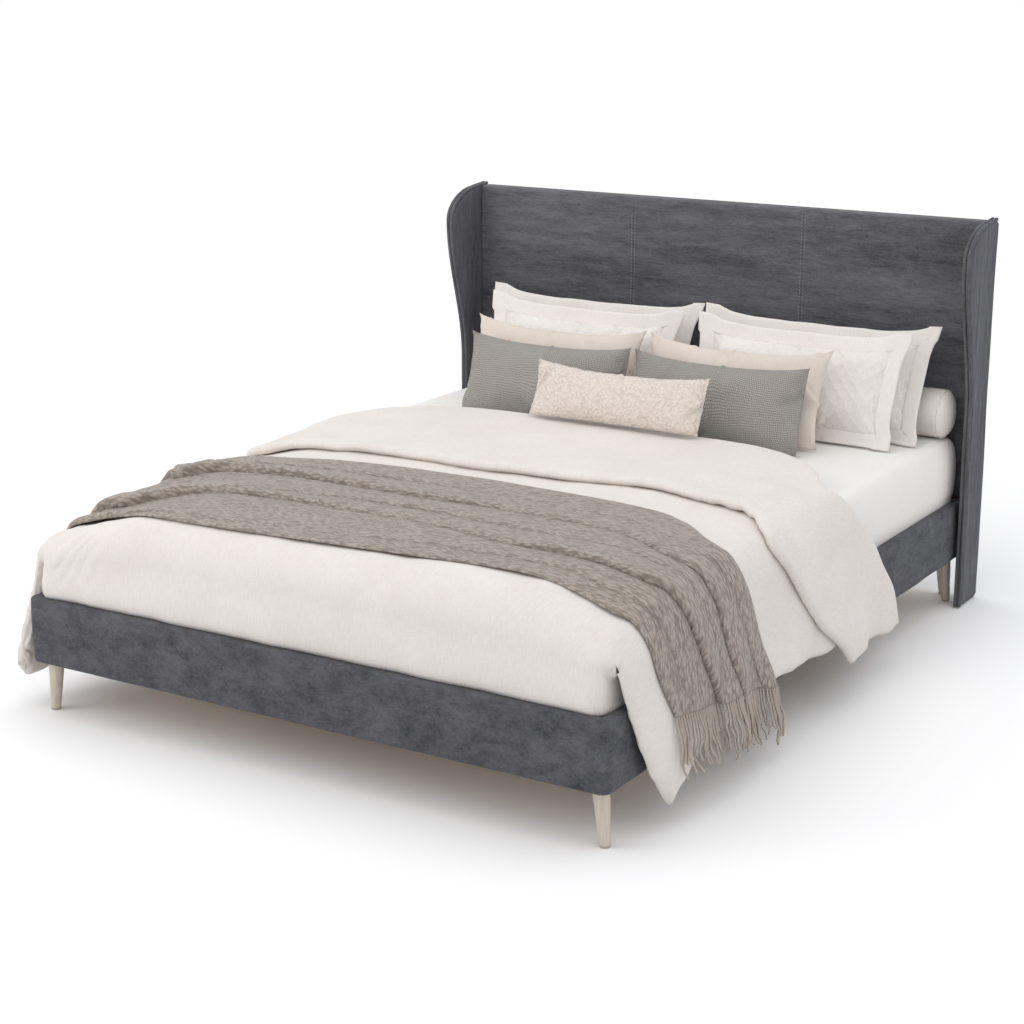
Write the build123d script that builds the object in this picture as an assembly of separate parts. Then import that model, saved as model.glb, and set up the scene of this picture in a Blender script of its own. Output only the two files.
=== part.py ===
from build123d import *
import math
import os

# Upholstered double bed with a winged headboard, slatted base and bedding.
# Millimetres. X runs across the bed, Y from the foot to the head, Z up.
# The origin is on the floor, under the middle of the whole bed.

# Mattress and the room around it
MATTRESS_WIDTH = 1600.0
MATTRESS_LENGTH = 2100.0
MATTRESS_THICKNESS = 255.0
MATTRESS_CORNER = 45.0
SHEET_THICKNESS = 1.5
SIDE_CLEARANCE = 1.5
HEAD_CLEARANCE = 0.5
TUCK_SPACE = 7.5
LIFT_CLEARANCE = 0.3

# Base rails: a board with padding over its outer face and edges
RAIL_HEIGHT = 170.0
RAIL_CLEAR_OF_FLOOR = 136.5
RAIL_BOARD = 18.0
RAIL_PADDING = 9.0
RAIL_EDGE_RADIUS = 8.0
RAIL_CORNER_RADIUS = 24.0

# Slatted base
SLAT_COUNT = 12
SLAT_WIDTH = 100.0
SLAT_THICKNESS = 18.0
SLAT_TOP = 240.0
SLAT_END_GAP = 2.0
SLAT_FIRST_GAP = 20.0
LEDGER_WIDTH = 30.0
LEDGER_HEIGHT = 40.0
BEAM_WIDTH = 50.0
BEAM_HEIGHT = 60.0
HANGER_PLATE = 3.0
HANGER_DEPTH = 42.0
HANGER_HEIGHT = 44.0
BLOCK_SIZE = 80.0

# Bolts that hold the corners and the headboard
BOLT_RADIUS = 4.0
BOLT_HEAD_RADIUS = 8.0
BOLT_HEAD_HEIGHT = 5.0
BOLT_CLEARANCE = 0.2
BOLT_BITE = 12.0
BOLT_SPREAD = 16.0
CORNER_BOLT_UPPER_RISE = 62.0
CORNER_BOLT_LOWER_RISE = 36.0
HEADBOARD_BOLT_BITE = 50.0
HEADBOARD_BOLT_RISE = 45.0
HEADBOARD_BOLT_PITCH = 80.0
COUNTERBORE_DEPTH = 6.0
COUNTERBORE_MARGIN = 2.0

# Legs
LEG_TOP_RADIUS = 20.5
LEG_FOOT_RADIUS = 13.0
LEG_SPLAY = 12.0
LEG_INSET = 30.0
FRONT_LEG_SETBACK = 48.5
REAR_LEG_SETBACK = 60.0
LEG_STUD_RADIUS = 4.0
LEG_STUD_LENGTH = 25.0
GLIDE_RADIUS = 12.0
GLIDE_HEIGHT = 6.0
HEADBOARD_LEG_INSET = 74.0
HEADBOARD_LEG_SETBACK = 23.0
CENTRE_LEG_RADIUS = 22.0
CENTRE_LEG_SPREAD = 370.0
CENTRE_LEG_CLEAR_OF_FLOOR = 24.0
LEVELLER_PAD_RADIUS = 19.0
LEVELLER_PAD_HEIGHT = 8.0
LEVELLER_STEM_RADIUS = 5.0
LEVELLER_STEM_LENGTH = 44.0
LEVELLER_CLEARANCE = 0.2
LEVELLER_BORE_TRAVEL = 16.0

# Headboard
HEADBOARD_HEIGHT = 1117.0
HEADBOARD_BOARD = 18.0
PANEL_PADDING = 22.0
PANEL_TOP_PADDING = 9.0
PANEL_BOTTOM_GAP = 1.5
PANEL_TOP_RADIUS = 8.0
PANEL_SEAM_RADIUS = 5.0
PANEL_SEAM_OFFSET = 286.0
BACK_COVER = 5.0

# Wings, which run from the floor past the top of the headboard
WING_HEIGHT = 1127.0
WING_CLEAR_OF_FLOOR = 4.0
WING_THICKNESS = 22.0
WING_GAP = 14.0
WING_LOW_DEPTH = 140.0
WING_HIGH_DEPTH = 227.0
WING_CURVE_START = 580.0
WING_NOSE_HEIGHT = 1022.0
WING_SHOULDER_DEPTH = 98.0
WING_SHOULDER_DROP = 9.0
WING_BACK_BEVEL = 6.0
WING_SKIN = 5.0
WING_EDGE_SKIN = 17.0
PIPING_RADIUS = 5.0
PIPING_STANDOFF = 10.6
PIPING_SIDES = 8

# Duvet, with its head end turned back over itself
DUVET_TOP = 541.0
DUVET_FOLD = 14.0
DUVET_FLARE = 50.0
DUVET_FOOT_ROUND = 100.0
DUVET_SIDE_ROUND = 50.0
DUVET_HEAD_ROUND = 40.0
DUVET_FOOT_OVERLAP = 21.0
DUVET_RAIL_CLEARANCE = 3.0
DUVET_TUCK_DEPTH = 18.0
DUVET_TUCK_INSET = 16.0
DUVET_WAVE = 13.0
DUVET_WAVE_LENGTH = 290.0
DUVET_STATION = 60.0
DUVET_HEAD_SETBACK = 663.5
TURNBACK_START = 885.0
TURNBACK_ROUND = 14.0
DRAPE_REACH = 200.0

# Throw across the foot of the bed
THROW_THICKNESS = 7.0
THROW_FOLD = 11.0
THROW_STATION = 28.0
THROW_START = 25.0
THROW_END = 850.0

# Pillows and cushions: flange and how far the sides are drawn in
PILLOW_FLANGE = 42.0
FLANGE_THICKNESS = 4.0
PILLOW_DRAW_SHARE = 0.06
PILLOW_SEAT = 0.3
BOLSTER_RADIUS = 70.0
BOLSTER_HALF_LENGTH = 795.0
BOLSTER_ACROSS = 10.0
BOLSTER_END_ROUND = 30.0
OVERRUN = 50.0

# Worked out from the sizes above
INNER_HALF = MATTRESS_WIDTH / 2 + SHEET_THICKNESS + SIDE_CLEARANCE
RAIL_THICKNESS = RAIL_BOARD + RAIL_PADDING
RAIL_OUTER = INNER_HALF + RAIL_THICKNESS
WING_INNER = RAIL_OUTER + WING_GAP
WING_OUTER = WING_INNER + WING_THICKNESS
FOOT_ROOM = RAIL_THICKNESS + TUCK_SPACE + SHEET_THICKNESS
HEAD_ROOM = SHEET_THICKNESS + HEAD_CLEARANCE
HEADBOARD_THICKNESS = PANEL_PADDING + HEADBOARD_BOARD + BACK_COVER
BED_LENGTH = FOOT_ROOM + MATTRESS_LENGTH + HEAD_ROOM + HEADBOARD_THICKNESS
FOOT_Y = -BED_LENGTH / 2
BACK_Y = BED_LENGTH / 2
FOOT_INNER_Y = FOOT_Y + RAIL_THICKNESS
CORE_BACK_Y = BACK_Y - BACK_COVER
CORE_FRONT_Y = CORE_BACK_Y - HEADBOARD_BOARD
PANEL_FRONT_Y = CORE_FRONT_Y - PANEL_PADDING
RAIL_BOTTOM = RAIL_CLEAR_OF_FLOOR
RAIL_TOP = RAIL_BOTTOM + RAIL_HEIGHT
SIDE_START_Y = FOOT_Y + max(RAIL_CORNER_RADIUS, RAIL_THICKNESS)
HEAD_RAIL_Y = CORE_FRONT_Y - RAIL_BOARD
LEDGER_TOP = SLAT_TOP - SLAT_THICKNESS
BEAM_BOTTOM = LEDGER_TOP - BEAM_HEIGHT
BLOCK_INNER = INNER_HALF - BLOCK_SIZE
FOOT_BLOCK_Y = FOOT_INNER_Y + BLOCK_SIZE
HEAD_BLOCK_Y = HEAD_RAIL_Y - BLOCK_SIZE
LEG_X = RAIL_OUTER - LEG_INSET
HEADBOARD_LEG_X = WING_INNER - HEADBOARD_LEG_INSET
HEADBOARD_LEG_Y = BACK_Y - HEADBOARD_LEG_SETBACK
FRONT_LEG_Y = FOOT_Y + FRONT_LEG_SETBACK
REAR_LEG_Y = HEAD_RAIL_Y + RAIL_BOARD - REAR_LEG_SETBACK
MATTRESS_BOTTOM = SLAT_TOP + LIFT_CLEARANCE
MATTRESS_FOOT_Y = FOOT_Y + FOOT_ROOM
MATTRESS_MID_Y = MATTRESS_FOOT_Y + MATTRESS_LENGTH / 2
SHEET_TOP = MATTRESS_BOTTOM + MATTRESS_THICKNESS + SHEET_THICKNESS
BOLT_HOLE = BOLT_RADIUS + BOLT_CLEARANCE
PILLOW_BASE = SHEET_TOP + PILLOW_SEAT

# How the mattress swells: share of its thickness, share of its corner size drawn in
MATTRESS_SHARES = (
    (0.0, 0.40), (0.05, 0.12), (0.12, 0.0), (0.27, 0.0), (0.40, -0.15), (0.64, -0.20),
    (0.80, -0.12), (0.91, 0.05), (0.97, 0.28), (1.0, 0.72),
)
# Hanging side of the duvet: share of its height, share of its flare outside the rail
DRAPE_SHARES = (
    (0.03, 1.0), (0.18, 0.97), (0.34, 0.86), (0.57, 0.63), (0.72, 0.45), (0.84, 0.22),
    (0.92, -0.20), (0.965, -0.85),
)
# Top of the duvet: share of the way out to the rail, share of its height
CROWN_SHARES = ((0.80, 0.988), (0.60, 0.996), (0.30, 1.0), (0.0, 1.0))
# Cushion crown: share of the crown's depth, share of the seam's outline, share of draw
CUSHION_SHARES = (
    (-1.0, 0.42, -0.5), (-0.9, 0.66, -0.6), (-0.68, 0.82, -0.3), (-0.36, 0.94, 0.3),
    (0.0, 1.0, 1.0),
    (0.36, 0.94, 0.3), (0.68, 0.82, -0.3), (0.9, 0.66, -0.6), (1.0, 0.42, -0.5),
)
# Fall of the duvet at each side: share of the bed's length, share of the duvet's height
RIGHT_FALL_SHARES = (
    (0.012, 1.3), (0.012, 0.85), (0.026, 0.62), (0.055, 0.32), (0.117, 0.068),
    (0.168, 0.17), (0.26, 0.28), (0.34, 0.32), (0.485, 0.30), (0.53, 0.185),
    (0.60, 0.215), (0.695, 0.195), (0.66, 0.42), (0.615, 0.66), (0.565, 0.93), (0.565, 1.3),
)
LEFT_FALL_SHARES = (
    (0.012, 1.3), (0.012, 0.85), (0.012, 0.50), (0.010, 0.20), (0.05, 0.14),
    (0.13, 0.20), (0.24, 0.29), (0.34, 0.32), (0.485, 0.30), (0.53, 0.185),
    (0.60, 0.215), (0.695, 0.195), (0.665, 0.42), (0.625, 0.66), (0.58, 0.93), (0.58, 1.3),
)
# Head edge of the turned-back duvet on top: share of the half width, share of the length
HEAD_EDGE_SHARES = ((0.0, 0.696), (0.48, 0.690), (0.69, 0.672), (0.85, 0.625), (0.97, 0.572))
# Edges of the throw on top: share of the half width, share of the bed's length
THROW_FOOT_SHARES = (
    (-1.2, 0.025), (-0.97, 0.030), (-0.66, 0.037), (-0.07, 0.054), (0.59, 0.075),
    (0.90, 0.058), (0.97, 0.058), (1.2, 0.075),
)
THROW_HEAD_SHARES = (
    (1.2, 0.302), (0.97, 0.278), (0.91, 0.290), (0.61, 0.354), (0.12, 0.367),
    (-0.30, 0.367), (-0.82, 0.344), (-0.97, 0.300), (-1.2, 0.290),
)
# Fall of the throw at each side: share of the bed's length, share of the duvet's height
THROW_RIGHT_SHARES = (
    (0.058, 1.3), (0.058, 0.93), (0.078, 0.66), (0.105, 0.465), (0.22, 0.40),
    (0.339, 0.31), (0.300, 0.66), (0.278, 0.93), (0.278, 1.3),
)
THROW_LEFT_SHARES = (
    (0.030, 1.3), (0.030, 0.93), (0.070, 0.66), (0.088, 0.50), (0.19, 0.46),
    (0.325, 0.42), (0.310, 0.66), (0.300, 0.93), (0.300, 1.3),
)
# Folds along the throw: share of each fold's rise, station after station
THROW_FOLD_SHARES = (
    0.0, 0.5, 1.0, 0.6, 0.1, 0.0, 0.45, 0.9, 0.5, 0.1, 0.3, 0.8, 1.0, 0.4, 0.0, 0.2,
    0.75, 0.4, 0.05, 0.5, 1.0, 0.55, 0.1, 0.3, 0.9, 0.7, 0.2, 0.0, 0.4, 0.2,
)


class Cushion:
    """One pillow: its size, crown, place across the bed, distance before the headboard and lean."""

    def __init__(self, name, width, height, front, back, across, before, lean, flange=False):
        self.name = name
        self.width = width
        self.height = height
        self.front = front
        self.back = back
        self.across = across
        self.before = before
        self.lean = lean
        self.flange = flange


def pair_places(kind, middle, gap):
    """Places across the bed of two like cushions beside each other, left and right."""
    reach = (kind["width"] + gap) / 2
    return middle - reach, middle + reach


OXFORD_BACK = {"width": 740.0, "height": 355.0, "front": 52.0, "back": 20.0, "before": 233.0}
OXFORD_FRONT = {"width": 665.0, "height": 342.0, "front": 54.0, "back": 20.0, "before": 323.0}
TAUPE = {"width": 590.0, "height": 292.0, "front": 58.0, "back": 22.0, "before": 428.0}
GREY = {"width": 555.0, "height": 255.0, "front": 68.0, "back": 24.0, "before": 528.0}
LUMBAR = {"width": 555.0, "height": 172.0, "front": 52.0, "back": 22.0, "before": 678.0}
OXFORD_BACK_PLACES = pair_places(OXFORD_BACK, middle=11.0, gap=14.0)
OXFORD_FRONT_PLACES = pair_places(OXFORD_FRONT, middle=19.5, gap=58.0)
TAUPE_PLACES = pair_places(TAUPE, middle=-51.0, gap=8.0)
GREY_PLACES = pair_places(GREY, middle=-33.0, gap=7.0)
LUMBAR_ACROSS = 18.0

CUSHIONS = (
    Cushion("oxford_pillow_back_left", across=OXFORD_BACK_PLACES[0], lean=30, flange=True, **OXFORD_BACK),
    Cushion("oxford_pillow_back_right", across=OXFORD_BACK_PLACES[1], lean=30, flange=True, **OXFORD_BACK),
    Cushion("oxford_pillow_front_left", across=OXFORD_FRONT_PLACES[0], lean=28, flange=True, **OXFORD_FRONT),
    Cushion("oxford_pillow_front_right", across=OXFORD_FRONT_PLACES[1], lean=28, flange=True, **OXFORD_FRONT),
    Cushion("taupe_cushion_left", across=TAUPE_PLACES[0], lean=25, **TAUPE),
    Cushion("taupe_cushion_right", across=TAUPE_PLACES[1], lean=25, **TAUPE),
    Cushion("grey_cushion_left", across=GREY_PLACES[0], lean=22, **GREY),
    Cushion("grey_cushion_right", across=GREY_PLACES[1], lean=22, **GREY),
    Cushion("lumbar_cushion", across=LUMBAR_ACROSS, lean=30, **LUMBAR),
)


def block(x0, x1, y0, y1, z0, z1):
    """Box between two corners."""
    size = Box(abs(x1 - x0), abs(y1 - y0), abs(z1 - z0))
    return Pos((x0 + x1) / 2, (y0 + y1) / 2, (z0 + z1) / 2) * size


def rod(start, direction, radius, length):
    """Cylinder from a start point along a direction."""
    plane = Plane(origin=start, z_dir=direction)
    return extrude(plane * Circle(radius), length)


def on_left(shape):
    """The same piece on the left side of the bed."""
    return mirror(shape, about=Plane.YZ)


def prism_along_x(points, x0, x1):
    """Prism between two X positions from an outline of (y, z) points."""
    plane = Plane(origin=(min(x0, x1), 0, 0), x_dir=(0, 1, 0), z_dir=(1, 0, 0))
    return extrude(plane * make_face(Polyline(*points, close=True)), abs(x1 - x0))


def prism_along_z(points, z0, z1):
    """Prism between two heights from an outline of (x, y) points."""
    return extrude(Plane.XY.offset(z0) * make_face(Polyline(*points, close=True)), z1 - z0)


# Base rails

def padded_ring():
    """Padded rails as one rounded ring, open only where pieces are cut from it."""
    ring_length = CORE_FRONT_Y - FOOT_Y + RAIL_CORNER_RADIUS + OVERRUN
    outer = RectangleRounded(RAIL_OUTER + RAIL_OUTER, ring_length, RAIL_CORNER_RADIUS)
    inner = Rectangle(INNER_HALF + INNER_HALF, ring_length - RAIL_THICKNESS - RAIL_THICKNESS)
    middle = Plane.XY.offset(RAIL_BOTTOM) * Pos(0, FOOT_Y + ring_length / 2)
    ring = extrude(middle * (outer - inner), RAIL_HEIGHT)
    long_edges = ring.edges().group_by(Axis.Z)
    return fillet(long_edges[0] + long_edges[-1], radius=RAIL_EDGE_RADIUS)


def side_rail_board():
    board = block(
        INNER_HALF, INNER_HALF + RAIL_BOARD, SIDE_START_Y, CORE_FRONT_Y,
        RAIL_BOTTOM + RAIL_PADDING, RAIL_TOP - RAIL_PADDING,
    )
    for bolt in corner_bolt_places():
        if bolt["across"]:
            board -= rod(bolt["start"], bolt["direction"], BOLT_HOLE, bolt["length"])
    for start in headboard_bolt_places():
        board -= rod(start, (0, -1, 0), BOLT_HOLE, headboard_bolt_length())
    return board


def foot_rail_board():
    board = block(
        -INNER_HALF, INNER_HALF, FOOT_INNER_Y - RAIL_BOARD, FOOT_INNER_Y,
        RAIL_BOTTOM + RAIL_PADDING, RAIL_TOP - RAIL_PADDING,
    )
    for bolt in corner_bolt_places():
        if not bolt["across"] and bolt["start"][1] < 0:
            hole = rod(bolt["start"], bolt["direction"], BOLT_HOLE, bolt["length"])
            board -= hole
            board -= on_left(hole)
    return board


def head_rail():
    board = block(-INNER_HALF, INNER_HALF, HEAD_RAIL_Y, CORE_FRONT_Y, RAIL_BOTTOM, LEDGER_TOP)
    for bolt in corner_bolt_places():
        if not bolt["across"] and bolt["start"][1] > 0:
            hole = rod(bolt["start"], bolt["direction"], BOLT_HOLE, bolt["length"])
            board -= hole
            board -= on_left(hole)
    return board


def side_rail_cover(ring):
    reach = block(
        INNER_HALF, RAIL_OUTER, SIDE_START_Y, CORE_FRONT_Y, RAIL_BOTTOM, RAIL_TOP,
    )
    board = block(
        INNER_HALF, INNER_HALF + RAIL_BOARD, SIDE_START_Y, CORE_FRONT_Y,
        RAIL_BOTTOM + RAIL_PADDING, RAIL_TOP - RAIL_PADDING,
    )
    return (ring & reach) - board


def foot_rail_cover(ring):
    reach = block(-RAIL_OUTER, RAIL_OUTER, FOOT_Y, SIDE_START_Y, RAIL_BOTTOM, RAIL_TOP)
    board = block(
        -INNER_HALF, INNER_HALF, FOOT_INNER_Y - RAIL_BOARD, FOOT_INNER_Y,
        RAIL_BOTTOM + RAIL_PADDING, RAIL_TOP - RAIL_PADDING,
    )
    return (ring & reach) - board


# Slatted base

def ledger():
    return block(
        INNER_HALF - LEDGER_WIDTH, INNER_HALF, FOOT_BLOCK_Y, HEAD_BLOCK_Y,
        LEDGER_TOP - LEDGER_HEIGHT, LEDGER_TOP,
    )


def centre_beam():
    return block(
        -BEAM_WIDTH / 2, BEAM_WIDTH / 2, FOOT_INNER_Y, HEAD_RAIL_Y, BEAM_BOTTOM, LEDGER_TOP,
    )


def beam_hanger(wall_y, inward):
    """Steel stirrup that holds one end of the beam; inward is +1 or -1 along Y."""
    half = BEAM_WIDTH / 2
    end_y = wall_y + inward * HANGER_DEPTH
    top = BEAM_BOTTOM + HANGER_HEIGHT
    outer = block(-half - HANGER_PLATE, half + HANGER_PLATE, wall_y, end_y,
                  BEAM_BOTTOM - HANGER_PLATE, top)
    return outer - block(-half, half, wall_y, end_y, BEAM_BOTTOM, top)


def slat(index):
    room = HEAD_RAIL_Y - FOOT_INNER_Y - SLAT_FIRST_GAP - SLAT_FIRST_GAP - SLAT_WIDTH
    start = FOOT_INNER_Y + SLAT_FIRST_GAP + room * index / (SLAT_COUNT - 1)
    half = INNER_HALF - SLAT_END_GAP
    return block(-half, half, start, start + SLAT_WIDTH, LEDGER_TOP, SLAT_TOP)


def corner_bolt_places():
    """Bolts of the two right-hand corner blocks: start under the head, way and length."""
    places = []
    for wall_y, end_y in ((FOOT_INNER_Y, FOOT_BLOCK_Y), (HEAD_RAIL_Y, HEAD_BLOCK_Y)):
        middle_y = (wall_y + end_y) / 2
        middle_x = (INNER_HALF + BLOCK_INNER) / 2
        inward = 1 if end_y > wall_y else -1
        for side in (-1, 1):
            places.append({
                "across": True,
                "start": (BLOCK_INNER, middle_y + side * BOLT_SPREAD,
                          RAIL_BOTTOM + CORNER_BOLT_UPPER_RISE),
                "direction": (1, 0, 0),
                "length": BLOCK_SIZE + BOLT_BITE,
            })
            places.append({
                "across": False,
                "start": (middle_x + side * BOLT_SPREAD, end_y,
                          RAIL_BOTTOM + CORNER_BOLT_LOWER_RISE),
                "direction": (0, -inward, 0),
                "length": BLOCK_SIZE + BOLT_BITE,
            })
    return places


def headboard_bolt_places():
    """Points under the heads of the bolts through the headboard into a side rail."""
    across = INNER_HALF + RAIL_BOARD / 2
    seat = CORE_BACK_Y - COUNTERBORE_DEPTH
    low = RAIL_BOTTOM + HEADBOARD_BOLT_RISE
    return [(across, seat, low), (across, seat, low + HEADBOARD_BOLT_PITCH)]


def headboard_bolt_length():
    return HEADBOARD_BOARD - COUNTERBORE_DEPTH + HEADBOARD_BOLT_BITE


def bolt_solid(start, direction, length):
    """Hexagon-headed bolt whose head sits behind the start point."""
    away = tuple(-part for part in direction)
    head = extrude(Plane(origin=start, z_dir=away) * RegularPolygon(BOLT_HEAD_RADIUS, 6),
                   BOLT_HEAD_HEIGHT)
    return head + rod(start, direction, BOLT_RADIUS, length)


def frame_bolts():
    bolts = []
    for place in corner_bolt_places():
        shank = place["length"] - BOLT_CLEARANCE
        bolts.append(bolt_solid(place["start"], place["direction"], shank))
    for start in headboard_bolt_places():
        shank = headboard_bolt_length() - BOLT_CLEARANCE
        bolts.append(bolt_solid(start, (0, -1, 0), shank))
    return bolts + [on_left(bolt) for bolt in bolts]


def corner_block(wall_y, end_y, leg_y):
    """Timber block in a right-hand corner, drilled for its bolts and the leg's stud."""
    solid = block(BLOCK_INNER, INNER_HALF, wall_y, end_y, RAIL_BOTTOM, LEDGER_TOP)
    for place in corner_bolt_places():
        solid -= rod(place["start"], place["direction"], BOLT_HOLE, place["length"])
    stud_hole = rod((LEG_X - LEG_SPLAY, leg_y, RAIL_BOTTOM), (0, 0, 1),
                    LEG_STUD_RADIUS + BOLT_CLEARANCE, LEG_STUD_LENGTH + BOLT_CLEARANCE)
    return solid - stud_hole


# Legs

def tapered_leg(foot_x, leg_y, top_z, stud):
    """Turned leg that leans out towards its foot, with a stud where one is screwed in."""
    top_x = foot_x - LEG_SPLAY
    low = Plane.XY.offset(GLIDE_HEIGHT) * Pos(foot_x, leg_y) * Circle(LEG_FOOT_RADIUS)
    high = Plane.XY.offset(top_z) * Pos(top_x, leg_y) * Circle(LEG_TOP_RADIUS)
    leg = loft([low, high], ruled=True)
    if stud:
        leg += rod((top_x, leg_y, top_z), (0, 0, 1), LEG_STUD_RADIUS, LEG_STUD_LENGTH)
    return leg


def leg_glides():
    places = [
        (LEG_X, FRONT_LEG_Y), (LEG_X, REAR_LEG_Y),
        (HEADBOARD_LEG_X, HEADBOARD_LEG_Y),
    ]
    glides = [rod((x, y, 0), (0, 0, 1), GLIDE_RADIUS, GLIDE_HEIGHT) for x, y in places]
    return glides + [on_left(glide) for glide in glides]


def centre_leg(leg_y):
    height = BEAM_BOTTOM - CENTRE_LEG_CLEAR_OF_FLOOR
    post = rod((0, leg_y, CENTRE_LEG_CLEAR_OF_FLOOR), (0, 0, 1), CENTRE_LEG_RADIUS, height)
    reach = LEVELLER_PAD_HEIGHT + LEVELLER_STEM_LENGTH + LEVELLER_BORE_TRAVEL
    bore = rod((0, leg_y, 0), (0, 0, 1), LEVELLER_STEM_RADIUS + LEVELLER_CLEARANCE, reach)
    return post - bore


def levelling_foot(leg_y):
    pad = rod((0, leg_y, 0), (0, 0, 1), LEVELLER_PAD_RADIUS, LEVELLER_PAD_HEIGHT)
    stem = rod((0, leg_y, LEVELLER_PAD_HEIGHT), (0, 0, 1), LEVELLER_STEM_RADIUS,
               LEVELLER_STEM_LENGTH)
    return pad + stem


# Headboard and wings

def headboard_board():
    board = block(
        -WING_INNER, WING_INNER, CORE_FRONT_Y, CORE_BACK_Y,
        RAIL_BOTTOM, HEADBOARD_HEIGHT - PANEL_TOP_PADDING,
    )
    for start in headboard_bolt_places():
        hole = rod(start, (0, -1, 0), BOLT_HOLE, HEADBOARD_BOARD)
        hole += rod(start, (0, 1, 0), BOLT_HEAD_RADIUS + COUNTERBORE_MARGIN, COUNTERBORE_DEPTH)
        board -= hole
        board -= on_left(hole)
    return board


def headboard_panel(x0, x1):
    """Padded front section that also rolls over the top of the board."""
    bottom = RAIL_TOP + PANEL_BOTTOM_GAP
    panel = block(x0, x1, PANEL_FRONT_Y, BACK_Y, bottom, HEADBOARD_HEIGHT)
    front_edges = panel.edges().filter_by(Axis.Z).group_by(Axis.Y)[0]
    panel = fillet(front_edges, radius=PANEL_SEAM_RADIUS)
    top_edges = panel.edges().group_by(Axis.Z)[-1].filter_by(Axis.X)
    panel = fillet(top_edges, radius=PANEL_TOP_RADIUS)
    board_top = HEADBOARD_HEIGHT - PANEL_TOP_PADDING
    return panel - block(x0, x1, CORE_FRONT_Y, BACK_Y, bottom, board_top)


def headboard_back_cover():
    return block(
        -WING_INNER, WING_INNER, CORE_BACK_Y, BACK_Y,
        RAIL_BOTTOM, HEADBOARD_HEIGHT - PANEL_TOP_PADDING,
    )


def wing_front_line(inset):
    """Front and top line of a wing in (y, z), drawn in from its edge by an inset."""
    low_y = BACK_Y - WING_LOW_DEPTH + inset
    nose_y = BACK_Y - WING_HIGH_DEPTH + inset
    shoulder = (BACK_Y - WING_SHOULDER_DEPTH, WING_HEIGHT - WING_SHOULDER_DROP - inset)
    tip = (BACK_Y - WING_BACK_BEVEL, WING_HEIGHT - inset)
    foot = (low_y, WING_CLEAR_OF_FLOOR)
    bend = (low_y, WING_CURVE_START)
    nose = (nose_y, WING_NOSE_HEIGHT)
    straight = Line(foot, bend)
    sweep_out = Spline(bend, nose, tangents=((0, 1), (0, 1)))
    top_way = (tip[0] - shoulder[0], tip[1] - shoulder[1])
    roll_over = Spline(nose, shoulder, tangents=((0, 1), top_way))
    top = Line(shoulder, tip)
    return straight + sweep_out + roll_over + top, foot, tip


def wing_face(inset):
    """Outline of a wing in (y, z) whose front and top edges are drawn in by an inset."""
    front, foot, tip = wing_front_line(inset)
    bevel = (BACK_Y, tip[1] - WING_BACK_BEVEL)
    return make_face(front + Polyline(tip, bevel, (BACK_Y, WING_CLEAR_OF_FLOOR), foot))


def wing_plane(x):
    return Plane(origin=(x, 0, 0), x_dir=(0, 1, 0), z_dir=(1, 0, 0))


def wing_board():
    skin_x = WING_INNER + WING_SKIN
    return extrude(wing_plane(skin_x) * wing_face(WING_EDGE_SKIN),
                   WING_THICKNESS - WING_SKIN - WING_SKIN)


def wing_cover():
    outer = extrude(wing_plane(WING_INNER) * wing_face(PIPING_STANDOFF), WING_THICKNESS)
    return outer - wing_board()


def wing_piping():
    """Two piped rolls side by side along the wing's front and top edge."""
    line, foot, _ = wing_front_line(PIPING_RADIUS)
    rolls = []
    for x in (WING_INNER + PIPING_RADIUS, WING_OUTER - PIPING_RADIUS):
        path = wing_plane(x) * line
        start = Plane(origin=(x, foot[0], foot[1]), z_dir=(0, 0, 1))
        rolls.append(sweep(start * RegularPolygon(PIPING_RADIUS, PIPING_SIDES), path=path))
    return rolls


# Mattress and sheet

def swelling_block(grow, first):
    """Soft block of the mattress's form, grown all round, from one of its levels up."""
    sections = []
    for rise_share, in_share in MATTRESS_SHARES[first:]:
        inset = MATTRESS_CORNER * in_share - grow
        end_inset = max(MATTRESS_CORNER * in_share, 0) - grow
        top_grow = grow if rise_share > 0.5 else 0
        level = MATTRESS_BOTTOM + MATTRESS_THICKNESS * rise_share + top_grow
        outline = RectangleRounded(
            MATTRESS_WIDTH - inset - inset, MATTRESS_LENGTH - end_inset - end_inset,
            MATTRESS_CORNER,
        )
        sections.append(Plane.XY.offset(level) * Pos(0, MATTRESS_MID_Y) * outline)
    return loft(sections, ruled=True)


# Duvet and throw

def quarter_round(distance, radius):
    """Drop of a quarter-round edge at a distance in from its end."""
    if distance >= radius:
        return 0.0
    left = 1 - distance / radius
    return radius * (1 - math.sqrt(1 - left * left))


def drape_section(y, grow, drop, pull_in):
    """Filled outline across the bed of the draped duvet at one place along it."""
    top = DUVET_TOP - drop
    wave = DUVET_WAVE * math.sin(math.tau * (y - FOOT_Y) / DUVET_WAVE_LENGTH)
    half = []
    for rise, flare in DRAPE_SHARES:
        x = RAIL_OUTER + DUVET_FLARE * flare + wave * (1 - rise) + grow - pull_in
        half.append((x, top * rise + grow * rise))
    for across, rise in CROWN_SHARES:
        half.append(((RAIL_OUTER - pull_in) * across, top * rise + grow))
    left = [(-x, z) for x, z in reversed(half[:-1])]
    plane = Plane(origin=(0, y, 0), x_dir=(1, 0, 0), z_dir=(0, -1, 0))
    return plane * make_face(Polyline(*half, *left, close=True))


def spaced(start, end, step):
    """Places from start to end, about a step apart."""
    count = max(1, round((end - start) / step))
    return [start + (end - start) * index / count for index in range(count + 1)]


def duvet_start_y():
    return FOOT_Y + DUVET_FOOT_OVERLAP


def duvet_end_y():
    return BACK_Y - DUVET_HEAD_SETBACK


def foot_shape(y):
    """Drop of the top and pull-in of the sides near the foot end."""
    distance = y - duvet_start_y()
    return quarter_round(distance, DUVET_FOOT_ROUND), quarter_round(distance, DUVET_SIDE_ROUND)


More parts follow.
